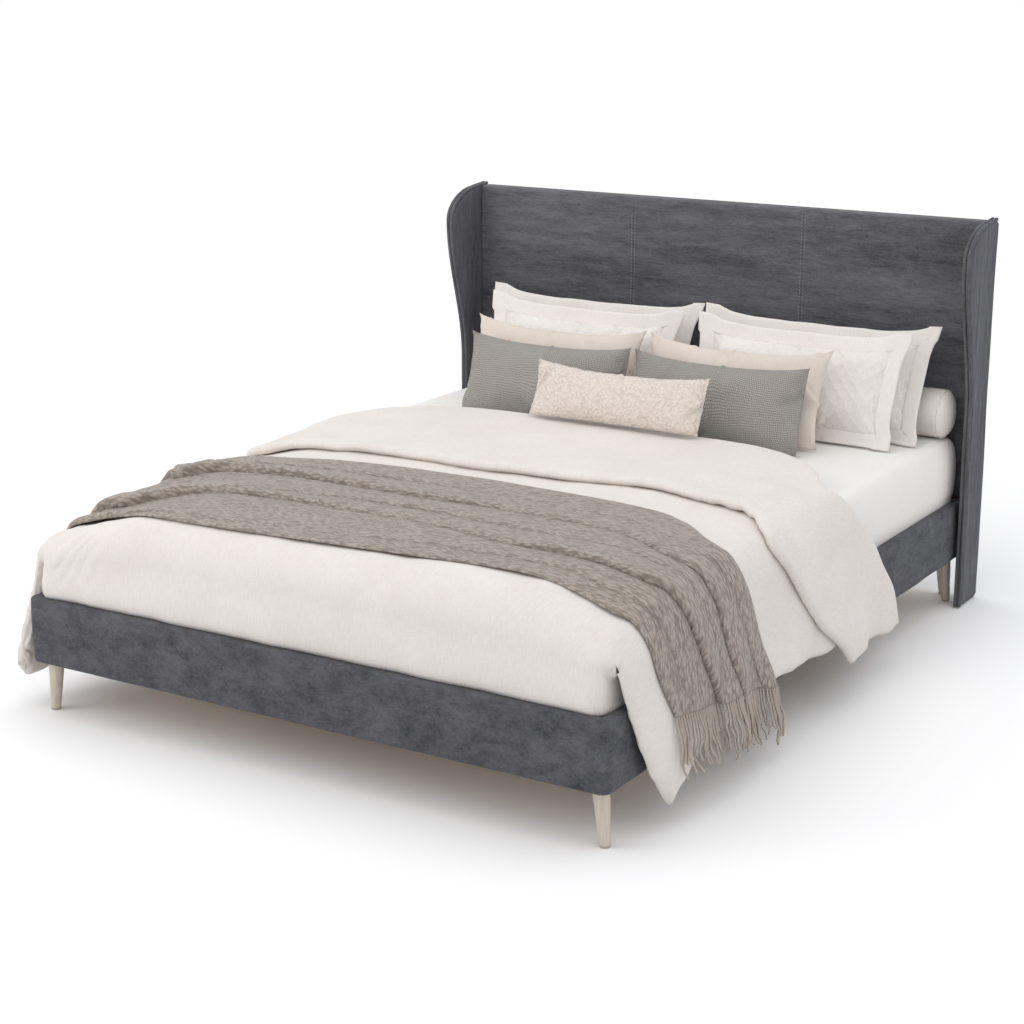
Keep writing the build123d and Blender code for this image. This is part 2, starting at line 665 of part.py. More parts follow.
def filled_duvet():
    """Outer form of the duvet, filled down to the floor side."""
    start = duvet_start_y()
    end = duvet_end_y()
    fold = FOOT_Y + TURNBACK_START
    sections = []
    round_places = [start + DUVET_FOOT_ROUND * share for share in (0.0, 0.06, 0.2, 0.45, 0.8)]
    for y in round_places + spaced(start + DUVET_FOOT_ROUND, fold, DUVET_STATION):
        drop, pull_in = foot_shape(y)
        sections.append(drape_section(y, 0.0, drop, pull_in))
    for share in (0.1, 0.4, 1.0):
        y = fold + TURNBACK_ROUND * share
        rise = DUVET_FOLD - quarter_round(TURNBACK_ROUND * share, TURNBACK_ROUND)
        sections.append(drape_section(y, rise, 0.0, 0.0))
    head_round = end - DUVET_HEAD_ROUND
    flat = spaced(fold + TURNBACK_ROUND, head_round, DUVET_STATION)[1:]
    for y in flat + [end - DUVET_HEAD_ROUND * share for share in (0.6, 0.3, 0.1, 0.0)]:
        drop = quarter_round(end - y, DUVET_HEAD_ROUND)
        sections.append(drape_section(y, DUVET_FOLD, drop, 0.0))
    return loft(sections, ruled=True)


def side_cutter(shares, side):
    """What lies outside the fall of a hanging side, from a table of its edge."""
    outline = [(FOOT_Y + BED_LENGTH * along, DUVET_TOP * rise) for along, rise in shares]
    inner_x = MATTRESS_WIDTH / 2
    outer_x = inner_x + DRAPE_REACH
    keep = prism_along_x(outline, side * inner_x, side * outer_x)
    around = block(side * inner_x, side * outer_x, FOOT_Y - OVERRUN, BACK_Y,
                   -OVERRUN, DUVET_TOP + DUVET_TOP * 0.3)
    return around - keep


def top_cutter(points, top):
    """What lies between an edge drawn on the bed's top and beyond it."""
    return prism_along_z(points, SHEET_TOP / 2, top)


def duvet(filled, sheet_body):
    """Duvet with its hanging sides, foot tucked inside the rail, head end turned back."""
    solid = filled - sheet_body
    clear_top = RAIL_TOP + DUVET_RAIL_CLEARANCE
    clear_half = RAIL_OUTER + DUVET_RAIL_CLEARANCE
    solid -= block(-clear_half, clear_half, FOOT_Y - OVERRUN, BACK_Y, -OVERRUN, clear_top)
    solid -= side_cutter(RIGHT_FALL_SHARES, 1)
    solid -= side_cutter(LEFT_FALL_SHARES, -1)
    reach = duvet_end_y() + OVERRUN
    edge = [(MATTRESS_WIDTH / 2 * x, FOOT_Y + BED_LENGTH * y) for x, y in HEAD_EDGE_SHARES]
    corner_y = FOOT_Y + BED_LENGTH * RIGHT_FALL_SHARES[-1][0]
    right = [(0, reach)] + edge + [(MATTRESS_WIDTH / 2, corner_y), (MATTRESS_WIDTH / 2, reach)]
    corner_y = FOOT_Y + BED_LENGTH * LEFT_FALL_SHARES[-1][0]
    left = [(0, reach)] + [(-x, y) for x, y in edge] \
        + [(-MATTRESS_WIDTH / 2, corner_y), (-MATTRESS_WIDTH / 2, reach)]
    high = DUVET_TOP + DUVET_FOLD + OVERRUN
    solid -= top_cutter(right, high)
    solid -= top_cutter(left, high)
    inner = MATTRESS_WIDTH / 2 - DUVET_TUCK_INSET
    tuck_front = FOOT_INNER_Y + LIFT_CLEARANCE
    tuck_back = MATTRESS_FOOT_Y - SHEET_THICKNESS
    tuck = block(-inner, inner, tuck_front, tuck_back, RAIL_TOP - DUVET_TUCK_DEPTH, clear_top)
    return solid + tuck


def throw_blanket(filled):
    """Folded throw laid over the duvet, hanging down at both sides."""
    sections = []
    places = spaced(FOOT_Y + THROW_START, FOOT_Y + THROW_END, THROW_STATION)
    for index, y in enumerate(places):
        drop, pull_in = foot_shape(y)
        fold = THROW_FOLD_SHARES[index % len(THROW_FOLD_SHARES)]
        sections.append(drape_section(y, THROW_THICKNESS + THROW_FOLD * fold, drop, pull_in))
    solid = loft(sections, ruled=True) - filled
    half = MATTRESS_WIDTH / 2
    near = [(half * x, FOOT_Y + BED_LENGTH * y) for x, y in THROW_FOOT_SHARES]
    far = [(half * x, FOOT_Y + BED_LENGTH * y) for x, y in THROW_HEAD_SHARES]
    high = DUVET_TOP + THROW_THICKNESS + THROW_FOLD + OVERRUN
    keep = prism_along_z(near + far, -OVERRUN, high)
    around = block(-half, half, FOOT_Y - OVERRUN, FOOT_Y + THROW_END + OVERRUN, -OVERRUN, high)
    solid -= around - keep
    solid -= side_cutter(THROW_RIGHT_SHARES, 1)
    solid -= side_cutter(THROW_LEFT_SHARES, -1)
    return solid


# Pillows

def cushion_outline(width, height, share, draw):
    """Four-sided outline whose sides are drawn in between its corners."""
    x = width / 2 * share
    low = height / 2 * (1 - share)
    high = height - low
    middle = height / 2
    sides = [
        ThreePointArc((-x, low), (0, low + draw), (x, low)),
        ThreePointArc((x, low), (x - draw, middle), (x, high)),
        ThreePointArc((x, high), (0, high - draw), (-x, high)),
        ThreePointArc((-x, high), (-x + draw, middle), (-x, low)),
    ]
    return make_face(sides)


def cushion_body(cushion, base_z):
    """Crowned pillow that leans back from its lower edge."""
    tilt = math.radians(cushion.lean)
    lift = FLANGE_THICKNESS / 2 * math.sin(tilt) if cushion.flange else 0.0
    plane = Plane(
        origin=(cushion.across, PANEL_FRONT_Y - cushion.before, base_z + lift),
        x_dir=(1, 0, 0), z_dir=(0, -math.cos(tilt), math.sin(tilt)),
    )
    rim = PILLOW_FLANGE if cushion.flange else 0.0
    width = cushion.width - rim - rim
    height = cushion.height - rim - rim
    draw = height * PILLOW_DRAW_SHARE
    sections = []
    for depth_share, outline_share, draw_share in CUSHION_SHARES:
        crown = cushion.front if depth_share > 0 else cushion.back
        outline = cushion_outline(width, height, outline_share, draw * draw_share)
        sections.append(plane.offset(crown * depth_share) * Pos(0, rim) * outline)
    body = loft(sections, ruled=True)
    if cushion.flange:
        flat = cushion_outline(cushion.width, cushion.height, 1.0, draw)
        body += extrude(plane.offset(-FLANGE_THICKNESS / 2) * flat, FLANGE_THICKNESS)
    return body


def bolster():
    """Round bolster that lies against the headboard, with rounded ends."""
    centre_y = PANEL_FRONT_Y - HEAD_CLEARANCE - BOLSTER_RADIUS
    plane = Plane(origin=(BOLSTER_ACROSS, centre_y, PILLOW_BASE + BOLSTER_RADIUS), x_dir=(1, 0, 0),
                  z_dir=(0, -1, 0))
    end = BOLSTER_HALF_LENGTH
    shoulder = end - BOLSTER_END_ROUND
    flat = BOLSTER_RADIUS - BOLSTER_END_ROUND
    slant = math.sqrt(0.5)
    bend = (shoulder + BOLSTER_END_ROUND * slant, flat + BOLSTER_END_ROUND * slant)
    outline = [
        Line((-end, 0), (-end, flat)),
        ThreePointArc((-end, flat), (-bend[0], bend[1]), (-shoulder, BOLSTER_RADIUS)),
        Line((-shoulder, BOLSTER_RADIUS), (shoulder, BOLSTER_RADIUS)),
        ThreePointArc((shoulder, BOLSTER_RADIUS), bend, (end, flat)),
        Line((end, flat), (end, 0)),
        Line((end, 0), (-end, 0)),
    ]
    return revolve(plane * make_face(outline), axis=Axis(plane.origin, plane.x_dir))


# The whole bed

def frame_nodes():
    ring = padded_ring()
    board = side_rail_board()
    cover = side_rail_cover(ring)
    rest = ledger()
    blocks = [
        corner_block(FOOT_INNER_Y, FOOT_BLOCK_Y, FRONT_LEG_Y),
        corner_block(HEAD_RAIL_Y, HEAD_BLOCK_Y, REAR_LEG_Y),
    ]
    nodes = {
        "side_rail_board_right": board,
        "side_rail_board_left": on_left(board),
        "foot_rail_board": foot_rail_board(),
        "head_rail": head_rail(),
        "side_rail_cover_right": cover,
        "side_rail_cover_left": on_left(cover),
        "foot_rail_cover": foot_rail_cover(ring),
        "slat_ledger_right": rest,
        "slat_ledger_left": on_left(rest),
        "centre_beam": centre_beam(),
        "beam_hangers": [beam_hanger(FOOT_INNER_Y, 1), beam_hanger(HEAD_RAIL_Y, -1)],
        "corner_blocks": blocks + [on_left(piece) for piece in blocks],
        "frame_bolts": frame_bolts(),
    }
    for index in range(SLAT_COUNT):
        nodes[f"slat_{index + 1:02d}"] = slat(index)
    return nodes


def leg_nodes():
    front = tapered_leg(LEG_X, FRONT_LEG_Y, RAIL_BOTTOM, True)
    rear = tapered_leg(LEG_X, REAR_LEG_Y, RAIL_BOTTOM, True)
    head = tapered_leg(HEADBOARD_LEG_X, HEADBOARD_LEG_Y, RAIL_BOTTOM, False)
    return {
        "leg_front_right": front,
        "leg_front_left": on_left(front),
        "leg_rear_right": rear,
        "leg_rear_left": on_left(rear),
        "headboard_legs": [head, on_left(head)],
        "leg_glides": leg_glides(),
        "centre_leg_front": centre_leg(-CENTRE_LEG_SPREAD),
        "centre_leg_rear": centre_leg(CENTRE_LEG_SPREAD),
        "levelling_foot_front": levelling_foot(-CENTRE_LEG_SPREAD),
        "levelling_foot_rear": levelling_foot(CENTRE_LEG_SPREAD),
    }


def headboard_nodes():
    side_panel = headboard_panel(PANEL_SEAM_OFFSET, WING_INNER)
    board = wing_board()
    cover = wing_cover()
    piping = wing_piping()
    return {
        "headboard_board": headboard_board(),
        "headboard_panel_right": side_panel,
        "headboard_panel_left": on_left(side_panel),
        "headboard_panel_centre": headboard_panel(-PANEL_SEAM_OFFSET, PANEL_SEAM_OFFSET),
        "headboard_back_cover": headboard_back_cover(),
        "wing_board_right": board,
        "wing_board_left": on_left(board),
        "wing_cover_right": cover,
        "wing_cover_left": on_left(cover),
        "wing_piping_right": piping,
        "wing_piping_left": [on_left(roll) for roll in piping],
    }


def bedding_nodes():
    mattress = swelling_block(0.0, 0)
    sheet_body = swelling_block(SHEET_THICKNESS, 2)
    filled = filled_duvet()
    nodes = {
        "mattress": mattress,
        "fitted_sheet": sheet_body - mattress,
        "duvet": duvet(filled, sheet_body),
        "throw_blanket": throw_blanket(filled),
        "bolster": bolster(),
    }
    for cushion in CUSHIONS:
        on_duvet = cushion.name == "lumbar_cushion"
        base_z = DUVET_TOP + DUVET_FOLD + PILLOW_SEAT if on_duvet else PILLOW_BASE
        nodes[cushion.name] = cushion_body(cushion, base_z)
    return nodes


def main():
    os.makedirs("parts", exist_ok=True)
    groups = (frame_nodes, leg_nodes, headboard_nodes, bedding_nodes)
    for group in groups:
        for name, shape in group().items():
            solids = Compound(children=shape) if isinstance(shape, list) else shape
            export_step(solids, f"parts/{name}.step")


if __name__ == "__main__":
    main()
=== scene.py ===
"""Upholstered double bed with a winged headboard and its bedding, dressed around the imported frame.

Metres, in the frame's axes: X runs across the bed, Y from the foot to the head, Z up.
"""

import logging
import math
from collections.abc import Sequence
from dataclasses import dataclass
from enum import Enum
from typing import ClassVar

import bmesh
import bpy
import numpy as np
from bpy.types import Material, Node, NodeSocket, NodeTree, Object
from mathutils import Matrix, Vector
from mathutils.kdtree import KDTree


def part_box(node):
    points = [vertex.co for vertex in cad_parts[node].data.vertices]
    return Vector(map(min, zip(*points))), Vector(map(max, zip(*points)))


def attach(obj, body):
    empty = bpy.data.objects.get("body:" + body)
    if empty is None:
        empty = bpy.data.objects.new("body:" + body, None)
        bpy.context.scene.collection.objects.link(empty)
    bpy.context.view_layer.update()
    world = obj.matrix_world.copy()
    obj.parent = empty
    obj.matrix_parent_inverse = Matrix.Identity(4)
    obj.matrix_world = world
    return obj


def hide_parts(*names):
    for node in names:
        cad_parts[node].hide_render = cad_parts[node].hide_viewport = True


LOG = logging.getLogger("bed")
MM = 0.001
TAU = math.tau
Array = np.ndarray
Points = Sequence[tuple[float, float]]
# Points, faces and flat places of a cloth
Shell = tuple[Array, Array, Array]
# Share of the second colour, relief, the relief's depth, values of the shader's sockets
Pattern = tuple[NodeSocket, NodeSocket, float, dict[str, object]]

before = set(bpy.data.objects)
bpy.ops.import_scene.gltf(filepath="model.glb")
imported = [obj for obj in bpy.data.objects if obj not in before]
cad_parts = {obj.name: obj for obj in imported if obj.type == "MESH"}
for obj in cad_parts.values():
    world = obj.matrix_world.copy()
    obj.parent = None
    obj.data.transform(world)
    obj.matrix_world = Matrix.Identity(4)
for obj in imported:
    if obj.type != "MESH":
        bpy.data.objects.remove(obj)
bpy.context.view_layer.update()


# Names and boxes of the frame

class Body(Enum):
    """The bodies that pieces ride on."""

    FRAME = "bed_frame"
    BEDDING = "bedding"


class Side(Enum):
    """Left or right side of the bed, as the sign of X."""

    LEFT = -1
    RIGHT = 1

    @property
    def word(self) -> str:
        """The side's name, as the frame's nodes have it."""
        return self.name.lower()


@dataclass(frozen=True)
class Span:
    """Lowest and highest corner of a node of the frame."""

    low: Vector
    high: Vector

    @classmethod
    def of(cls, node: str) -> "Span":
        """The box of one node of the frame."""
        low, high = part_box(node)
        return cls(low, high)

    @property
    def mid(self) -> Vector:
        """The middle of the box."""
        return (self.low + self.high) / 2


# Colours, nodes and meshes

def linear(code: str) -> tuple[float, float, float, float]:
    """Turns an sRGB hex value into the linear colour that a shader takes.

    Args:
        code: six hex digits.

    Returns:
        Red, green, blue and alpha.
    """
    parts = [int(code[i:i + 2], 16) / 255 for i in (0, 2, 4)]
    red, green, blue = (c / 12.92 if c <= 0.04045 else ((c + 0.055) / 1.055) ** 2.4 for c in parts)
    return red, green, blue, 1.0


def add_node(
    tree: NodeTree, kind: str, inputs: dict[str | int, object] | None = None, **settings: object
) -> Node:
    """Adds a node with its settings and links.

    Args:
        tree: the node tree that gets the node.
        kind: Blender's name of the node's type.
        inputs: a value or an output to link, for each input by name or number.
        settings: the node's own properties.

    Returns:
        The new node.
    """
    node = tree.nodes.new(kind)
    for name, value in settings.items():
        setattr(node, name, value)
    for key, value in (inputs or {}).items():
        if isinstance(value, NodeSocket):
            tree.links.new(value, node.inputs[key])
        else:
            node.inputs[key].default_value = value
    return node


def linked(name: str, data: bpy.types.ID) -> Object:
    """Puts data into the scene as an object at the origin.

    Args:
        name: the object's name.
        data: its mesh, light or camera.

    Returns:
        The new object.
    """
    made = bpy.data.objects.new(name, data)
    bpy.context.scene.collection.objects.link(made)
    return made


def make_object(
    name: str, points: Array, faces: Sequence[Sequence[int]], material: Material,
    flat: Array | None = None, closed: bool = True,
) -> Object:
    """Makes a smooth mesh object at the origin.

    Args:
        name: the object's name.
        points: one row of X, Y and Z for each point.
        faces: point numbers of each face.
        material: the piece's finish.
        flat: each point's place on the flat cloth in metres, which becomes the UV map.
        closed: whether the faces close round a volume, and so are turned outwards.

    Returns:
        The new object.
    """
    mesh = bpy.data.meshes.new(name)
    mesh.from_pydata(points.tolist(), [], [list(map(int, face)) for face in faces])
    mesh.polygons.foreach_set("use_smooth", [True] * len(mesh.polygons))
    if flat is not None:
        corners = np.empty(len(mesh.loops), np.int32)
        mesh.loops.foreach_get("vertex_index", corners)
        layer = mesh.uv_layers.new(name="UVMap")
        layer.data.foreach_set("uv", flat[corners].astype(np.float32).ravel())
    if closed:
        form = bmesh.new()
        form.from_mesh(mesh)
        bmesh.ops.remove_doubles(form, verts=form.verts, dist=1e-6)
        bmesh.ops.recalc_face_normals(form, faces=form.faces)
        form.to_mesh(mesh)
        form.free()
    mesh.materials.append(material)
    return linked(name, mesh)


def applied(made: Object) -> Object:
    """Turns an object's modifiers into its plain mesh.

    Args:
        made: the object.

    Returns:
        A mesh object of the same name without modifiers.
    """
    name = made.name
    graph = bpy.context.evaluated_depsgraph_get()
    graph.update()
    mesh = bpy.data.meshes.new_from_object(made.evaluated_get(graph))
    bpy.data.objects.remove(made)
    mesh.name = name
    return linked(name, mesh)


def numbered(grid: Array) -> Array:
    """Numbers the points of a grid, row by row."""
    return np.arange(grid.shape[0] * grid.shape[1]).reshape(grid.shape[:2])


def grid_faces(index: Array) -> Array:
    """Four-sided faces of a grid of point numbers, as four numbers each."""
    corners = (index[:-1, :-1], index[:-1, 1:], index[1:, 1:], index[1:, :-1])
    return np.stack(corners, -1).reshape(-1, 4)


def unit(vectors: Array) -> Array:
    """The same directions at length one."""
    return vectors / np.maximum(np.linalg.norm(vectors, axis=-1, keepdims=True), 1e-12)


def normals_of(points: Array, faces: Array) -> Array:
    """Directions square to a surface at its points.

    Args:
        points: the surface's points.
        faces: its four-sided faces.

    Returns:
        One direction for each point.
    """
    corner = points[faces]
    square = np.cross(corner[:, 2] - corner[:, 0], corner[:, 3] - corner[:, 1])
    total = np.zeros_like(points)
    for place in range(4):
        np.add.at(total, faces[:, place], square)
    return unit(total)


def rim_edges(faces: Array) -> Array:
    """Finds the edges that only one face has.

    Args:
        faces: four-sided faces.

    Returns:
        Two point numbers for each edge, in its face's direction.
    """
    ways = np.concatenate([faces[:, [k, (k + 1) % 4]] for k in range(4)])
    known = {(int(i), int(j)) for i, j in ways}
    return np.array([way for way in ways if (int(way[1]), int(way[0])) not in known])


def nearest(flat: Array, rim: Array) -> Array:
    """Distance of each point of a flat cloth from the nearest point of its rim.

    Args:
        flat: places on the flat cloth.
        rim: the numbers of the points on the rim.

    Returns:
        One distance for each point.
    """
    tree = KDTree(len(rim))
    for number in rim:
        tree.insert((*flat[number], 0.0), int(number))
    tree.balance()
    return np.array([tree.find((*place, 0.0))[2] for place in flat])


def padded_shell(
    points: Array, faces: Array, flat: Array, thickness: float | Array, rounding: float,
    edge: float,
) -> Shell:
    """Gives a surface two skins that close round its rim.

    Args:
        points: the middle surface's points.
        faces: its four-sided faces.
        flat: each point's place on the flat cloth.
        thickness: how far the skins lie apart, once or for each point.
        rounding: distance from the rim over which the thickness grows to its full value.
        edge: share of the thickness that the rim has.

    Returns:
        Points, faces and flat places of the closed shell.
    """
    rim = rim_edges(faces)
    share = np.clip(nearest(flat, np.unique(rim)) / rounding, 0, 1)
    profile = edge + (1 - edge) * np.sqrt(1 - (1 - share) ** 2)
    lift = normals_of(points, faces) * (thickness / 2 * profile)[:, None]
    count = len(points)
    sides = np.stack([rim[:, 1], rim[:, 0], rim[:, 0] + count, rim[:, 1] + count], -1)
    skins = np.concatenate([faces, faces[:, ::-1] + count, sides])
    return np.concatenate([points + lift, points - lift]), skins, np.concatenate([flat, flat])


def ring_skin(rings: Array, caps: bool = True) -> list[list[int]]:
    """Faces of a skin through closed rings of as many points each.

    Args:
        rings: the rings, in order.
        caps: whether the first and the last ring are closed.

    Returns:
        The point numbers of each face.
    """
    index = numbered(rings)
    faces = grid_faces(np.hstack([index, index[:, :1]])).tolist()
    if caps:
        faces += [index[0, ::-1].tolist(), index[-1].tolist()]
    return faces


def ripples(
    flat: Array, wavelength: float, seed: int, stretch: tuple[float, float] = (1.0, 1.0)
) -> Array:
    """Smooth random heights, from about minus one to one.

    Args:
        flat: places on the flat cloth.
        wavelength: the usual distance between two crests.
        seed: a fixed number, so that each run gives the same heights.
        stretch: how much longer the crests are along each axis.

    Returns:
        One height for each place.
    """
    draw = np.random.default_rng(seed)
    waves = 14
    angle = draw.uniform(0, TAU, waves)
    pace = TAU / wavelength * draw.uniform(0.6, 1.5, waves)
    phase = draw.uniform(0, TAU, waves)
    across = flat[:, :1] / stretch[0]
    along = flat[:, 1:2] / stretch[1]
    total = np.sin(pace * (across * np.cos(angle) + along * np.sin(angle)) + phase).sum(1)
    return total / math.sqrt(waves * 2)


def strip(places: Array) -> Array:
    """Places along one line, as places on a flat cloth."""
    return np.stack([places, places * 0], -1)


def ramp(value: Array, start: float, end: float) -> Array:
    """Smooth step from nought at the start to one at the end."""
    share = np.clip((value - start) / (end - start), 0, 1)
    return share * share * (3 - 2 * share)


def lengths(line: Array) -> Array:
    """Length of a line from its start to each of its points."""
    steps = np.linalg.norm(np.diff(line, axis=0), axis=1)
    return np.concatenate([[0], np.cumsum(steps)])


def through(points: Sequence[tuple[float, ...]], count: int) -> Array:
    """Smooth line through points, in steps of even length.

    Args:
        points: the points that the line passes.
        count: how many points the line gets.

    Returns:
        One row for each point of the line.
    """
    row = np.array(points, float)
    row = np.vstack([2 * row[0] - row[1], row, 2 * row[-1] - row[-2]])
    share = np.linspace(0, 1, 24, endpoint=False)[:, None]
    runs = []
    for a, b, c, d in zip(row, row[1:], row[2:], row[3:]):
        bend = (2 * a - 5 * b + 4 * c - d) * share ** 2 + (3 * b - a - 3 * c + d) * share ** 3
        runs.append(b + ((c - a) * share + bend) / 2)
    line = np.vstack([*runs, row[-2:-1]])
    length = lengths(line)
    places = np.linspace(0, length[-1], count)
    return np.stack([np.interp(places, length, line[:, k]) for k in range(line.shape[1])], -1)


def patch(near: Array, far: Array, left: Array, right: Array) -> Array:
    """Fills four edges on the flat cloth with a grid.

    Args:
        near: the first row, from left to right.
        far: the last row, from left to right.
        left: the first column, from near to far.
        right: the last column, from near to far.

    Returns:
        The grid as rows and columns of places.
    """
    s = np.linspace(0, 1, len(near))[None, :, None]
    t = np.linspace(0, 1, len(left))[:, None, None]
    rows = (1 - t) * near[None] + t * far[None]
    columns = (1 - s) * left[:, None] + s * right[:, None]
    corners = ((1 - s) * (1 - t) * near[0] + s * (1 - t) * near[-1]
               + (1 - s) * t * far[0] + s * t * far[-1])
    return rows + columns - corners


def settle(made: Object, body: Body, nodes: Sequence[str]) -> Object:
    """Gives a finished piece to its body, and hides the nodes that it stands for.

    Args:
        made: the piece.
        body: the body that it rides on.
        nodes: the frame's nodes that it replaces.

    Returns:
        The same piece.
    """
    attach(made, body.value)
    if nodes:
        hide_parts(*nodes)
    LOG.info("%s: %d faces on %s", made.name, len(made.data.polygons), body.value)
    return made


# Finishes

@dataclass(frozen=True)
class Finish:
    """A finish between two colours, as one material made the first time that it is asked for."""

    name: str
    first: str
    second: str

    def material(self) -> Material:
        """The finish as a Blender material.

        Returns:
            The material, the same one each time.
        """
        found = bpy.data.materials.get(self.name)
        if found is not None:
            return found
        made = bpy.data.materials.new(self.name)
        made.use_nodes = True
        tree = made.node_tree
        shader = tree.nodes["Principled BSDF"]
        share, height, depth, values = self.pattern(tree)
        mix = add_node(tree, "ShaderNodeMix",
                       {0: share, 6: linear(self.first), 7: linear(self.second)}, data_type="RGBA")
        relief = add_node(tree, "ShaderNodeBump",
                          {"Strength": 1.0, "Distance": depth, "Height": height})
        tree.links.new(mix.outputs[2], shader.inputs["Base Color"])
        tree.links.new(relief.outputs["Normal"], shader.inputs["Normal"])
        for socket, value in values.items():
            shader.inputs[socket].default_value = value
        return made

    def pattern(self, tree: NodeTree) -> Pattern:
        """Builds the nodes that tell one finish from another.

        Args:
            tree: the material's node tree.

        Returns:
            The second colour's share, the relief from nought to one, the relief's depth in metres,
            and the values of the shader's own sockets.
        """
        raise NotImplementedError


class Nap(Enum):
    """Which way a velvet's pile is brushed, as how far a streak stretches along X, Y and Z."""

    ACROSS = (5.5, 1.0, 1.0)
    UPRIGHT = (1.0, 1.0, 9.0)
    CLOUDED = (1.7, 1.7, 1.0)


@dataclass(frozen=True)
class Velvet(Finish):
    """Brushed polyester velvet: matt pile that turns lighter and darker in streaks."""

    nap: Nap
    # A streak's and a fibre's width across the nap, which says how long they run
    streak: float = 17 * MM
    fibre: float = 4 * MM
    cloud: float = 120 * MM
    # The pile's tufts are 0.3 mm wide, and are drawn at 3.5 mm so that they show
    tuft: float = 3.5 * MM

    def pattern(self, tree: NodeTree) -> Pattern:
        """Adds up streaks, fibres, clouds and tufts under a soft sheen.

        Args:
            tree: the material's node tree.

        Returns:
            What Finish.pattern returns.
        """
        place = add_node(tree, "ShaderNodeTexCoord").outputs["Object"]
        along = add_node(tree, "ShaderNodeMapping", {
            "Vector": place, "Scale": [1 / part for part in self.nap.value]}).outputs[0]
        total = None
        for size, detail, path, bend, weight in (
            (self.streak, 6.0, along, 0.3, 1.0), (self.fibre, 3.0, along, 0.3, 0.85),
            (self.cloud, 4.0, along, 0.3, 1.1), (self.tuft, 2.0, place, 0.0, 0.6),
        ):
            layer = add_node(tree, "ShaderNodeTexNoise", {
                "Vector": path, "Scale": 1 / size, "Detail": detail, "Roughness": 0.62,
                "Distortion": bend}).outputs[0]
            if total is not None:
                layer = add_node(tree, "ShaderNodeMath", {0: layer, 1: weight, 2: total},
                                 operation="MULTIPLY_ADD").outputs[0]
            total = layer
        share = add_node(tree, "ShaderNodeMapRange",
                         {"Value": total, "From Min": 1.29, "From Max": 2.15})
        return share.outputs[0], total, 0.9 * MM, {
            "Roughness": 0.9, "Sheen Weight": 0.10, "Sheen Roughness": 0.45,
            "Sheen Tint": linear("b8bac4")}


@dataclass(frozen=True)
class Linen(Finish):
    """Plain-woven linen or cotton: uneven threads that cross, softly matt."""

    # Threads are 0.5 mm apart, and are drawn at about 2 mm so that they show
    thread: float = 2.0 * MM
    slub: float = 28 * MM
    relief: float = 0.35 * MM
    # Pitch of the diamonds that a quilted cover is sewn in, or nought
    quilt: float = 0.0

    def pattern(self, tree: NodeTree) -> Pattern:
        """Crosses two stretched noises along the cloth's own threads.

        Args:
            tree: the material's node tree.

        Returns:
            What Finish.pattern returns.
        """
        cloth = add_node(tree, "ShaderNodeUVMap", uv_map="UVMap").outputs[0]
        threads = []
        for scale in ((1 / self.slub, 1 / self.thread, 1.0), (1 / self.thread, 1 / self.slub, 1.0)):
            turned = add_node(tree, "ShaderNodeMapping", {"Vector": cloth, "Scale": scale})
            threads.append(add_node(tree, "ShaderNodeTexNoise", {
                "Vector": turned.outputs[0], "Scale": 1.0, "Detail": 2.0, "Roughness": 0.55,
            }).outputs[0])
        # The warp's slubs, which run down the foot face, show more than the weft's
        height = add_node(tree, "ShaderNodeMath", {0: threads[0], 1: 0.5, 2: threads[1]},
                          operation="MULTIPLY_ADD").outputs[0]
        broad = add_node(tree, "ShaderNodeTexNoise",
                         {"Vector": cloth, "Scale": 5.0, "Detail": 3.0, "Roughness": 0.5})
        tone = add_node(tree, "ShaderNodeMath", {0: broad.outputs[0], 1: 0.5, 2: height},
                        operation="MULTIPLY_ADD")
        share = add_node(tree, "ShaderNodeMapRange",
                         {"Value": tone.outputs[0], "From Min": 1.35, "From Max": 0.65})
        if self.quilt:
            height = self.quilted(tree, cloth, height)
        return share.outputs[0], height, self.relief, {
            "Roughness": 0.9, "Sheen Weight": 0.06, "Sheen Roughness": 0.5}

    def quilted(self, tree: NodeTree, cloth: NodeSocket, height: NodeSocket) -> NodeSocket:
        """Adds the puffed diamonds of a quilted cover.

        Args:
            tree: the material's node tree.
            cloth: places on the flat cloth.
            height: the threads' relief.

        Returns:
            The relief of threads and diamonds together.
        """
        turned = add_node(tree, "ShaderNodeMapping", {
            "Vector": cloth, "Scale": (math.pi / self.quilt, math.pi / self.quilt, 1.0),
            "Rotation": (0.0, 0.0, math.pi / 4)})
        apart = add_node(tree, "ShaderNodeSeparateXYZ", {0: turned.outputs[0]}).outputs
        waves = [add_node(tree, "ShaderNodeMath", {0: apart[part]}, operation="SINE").outputs[0]
                 for part in (0, 1)]
        both = add_node(tree, "ShaderNodeMath", {0: waves[0], 1: waves[1]}, operation="MULTIPLY")
        puff = add_node(tree, "ShaderNodeMath", {0: both.outputs[0]}, operation="ABSOLUTE")
        return add_node(tree, "ShaderNodeMath", {0: puff.outputs[0], 1: 1.6, 2: height},
                        operation="MULTIPLY_ADD").outputs[0]


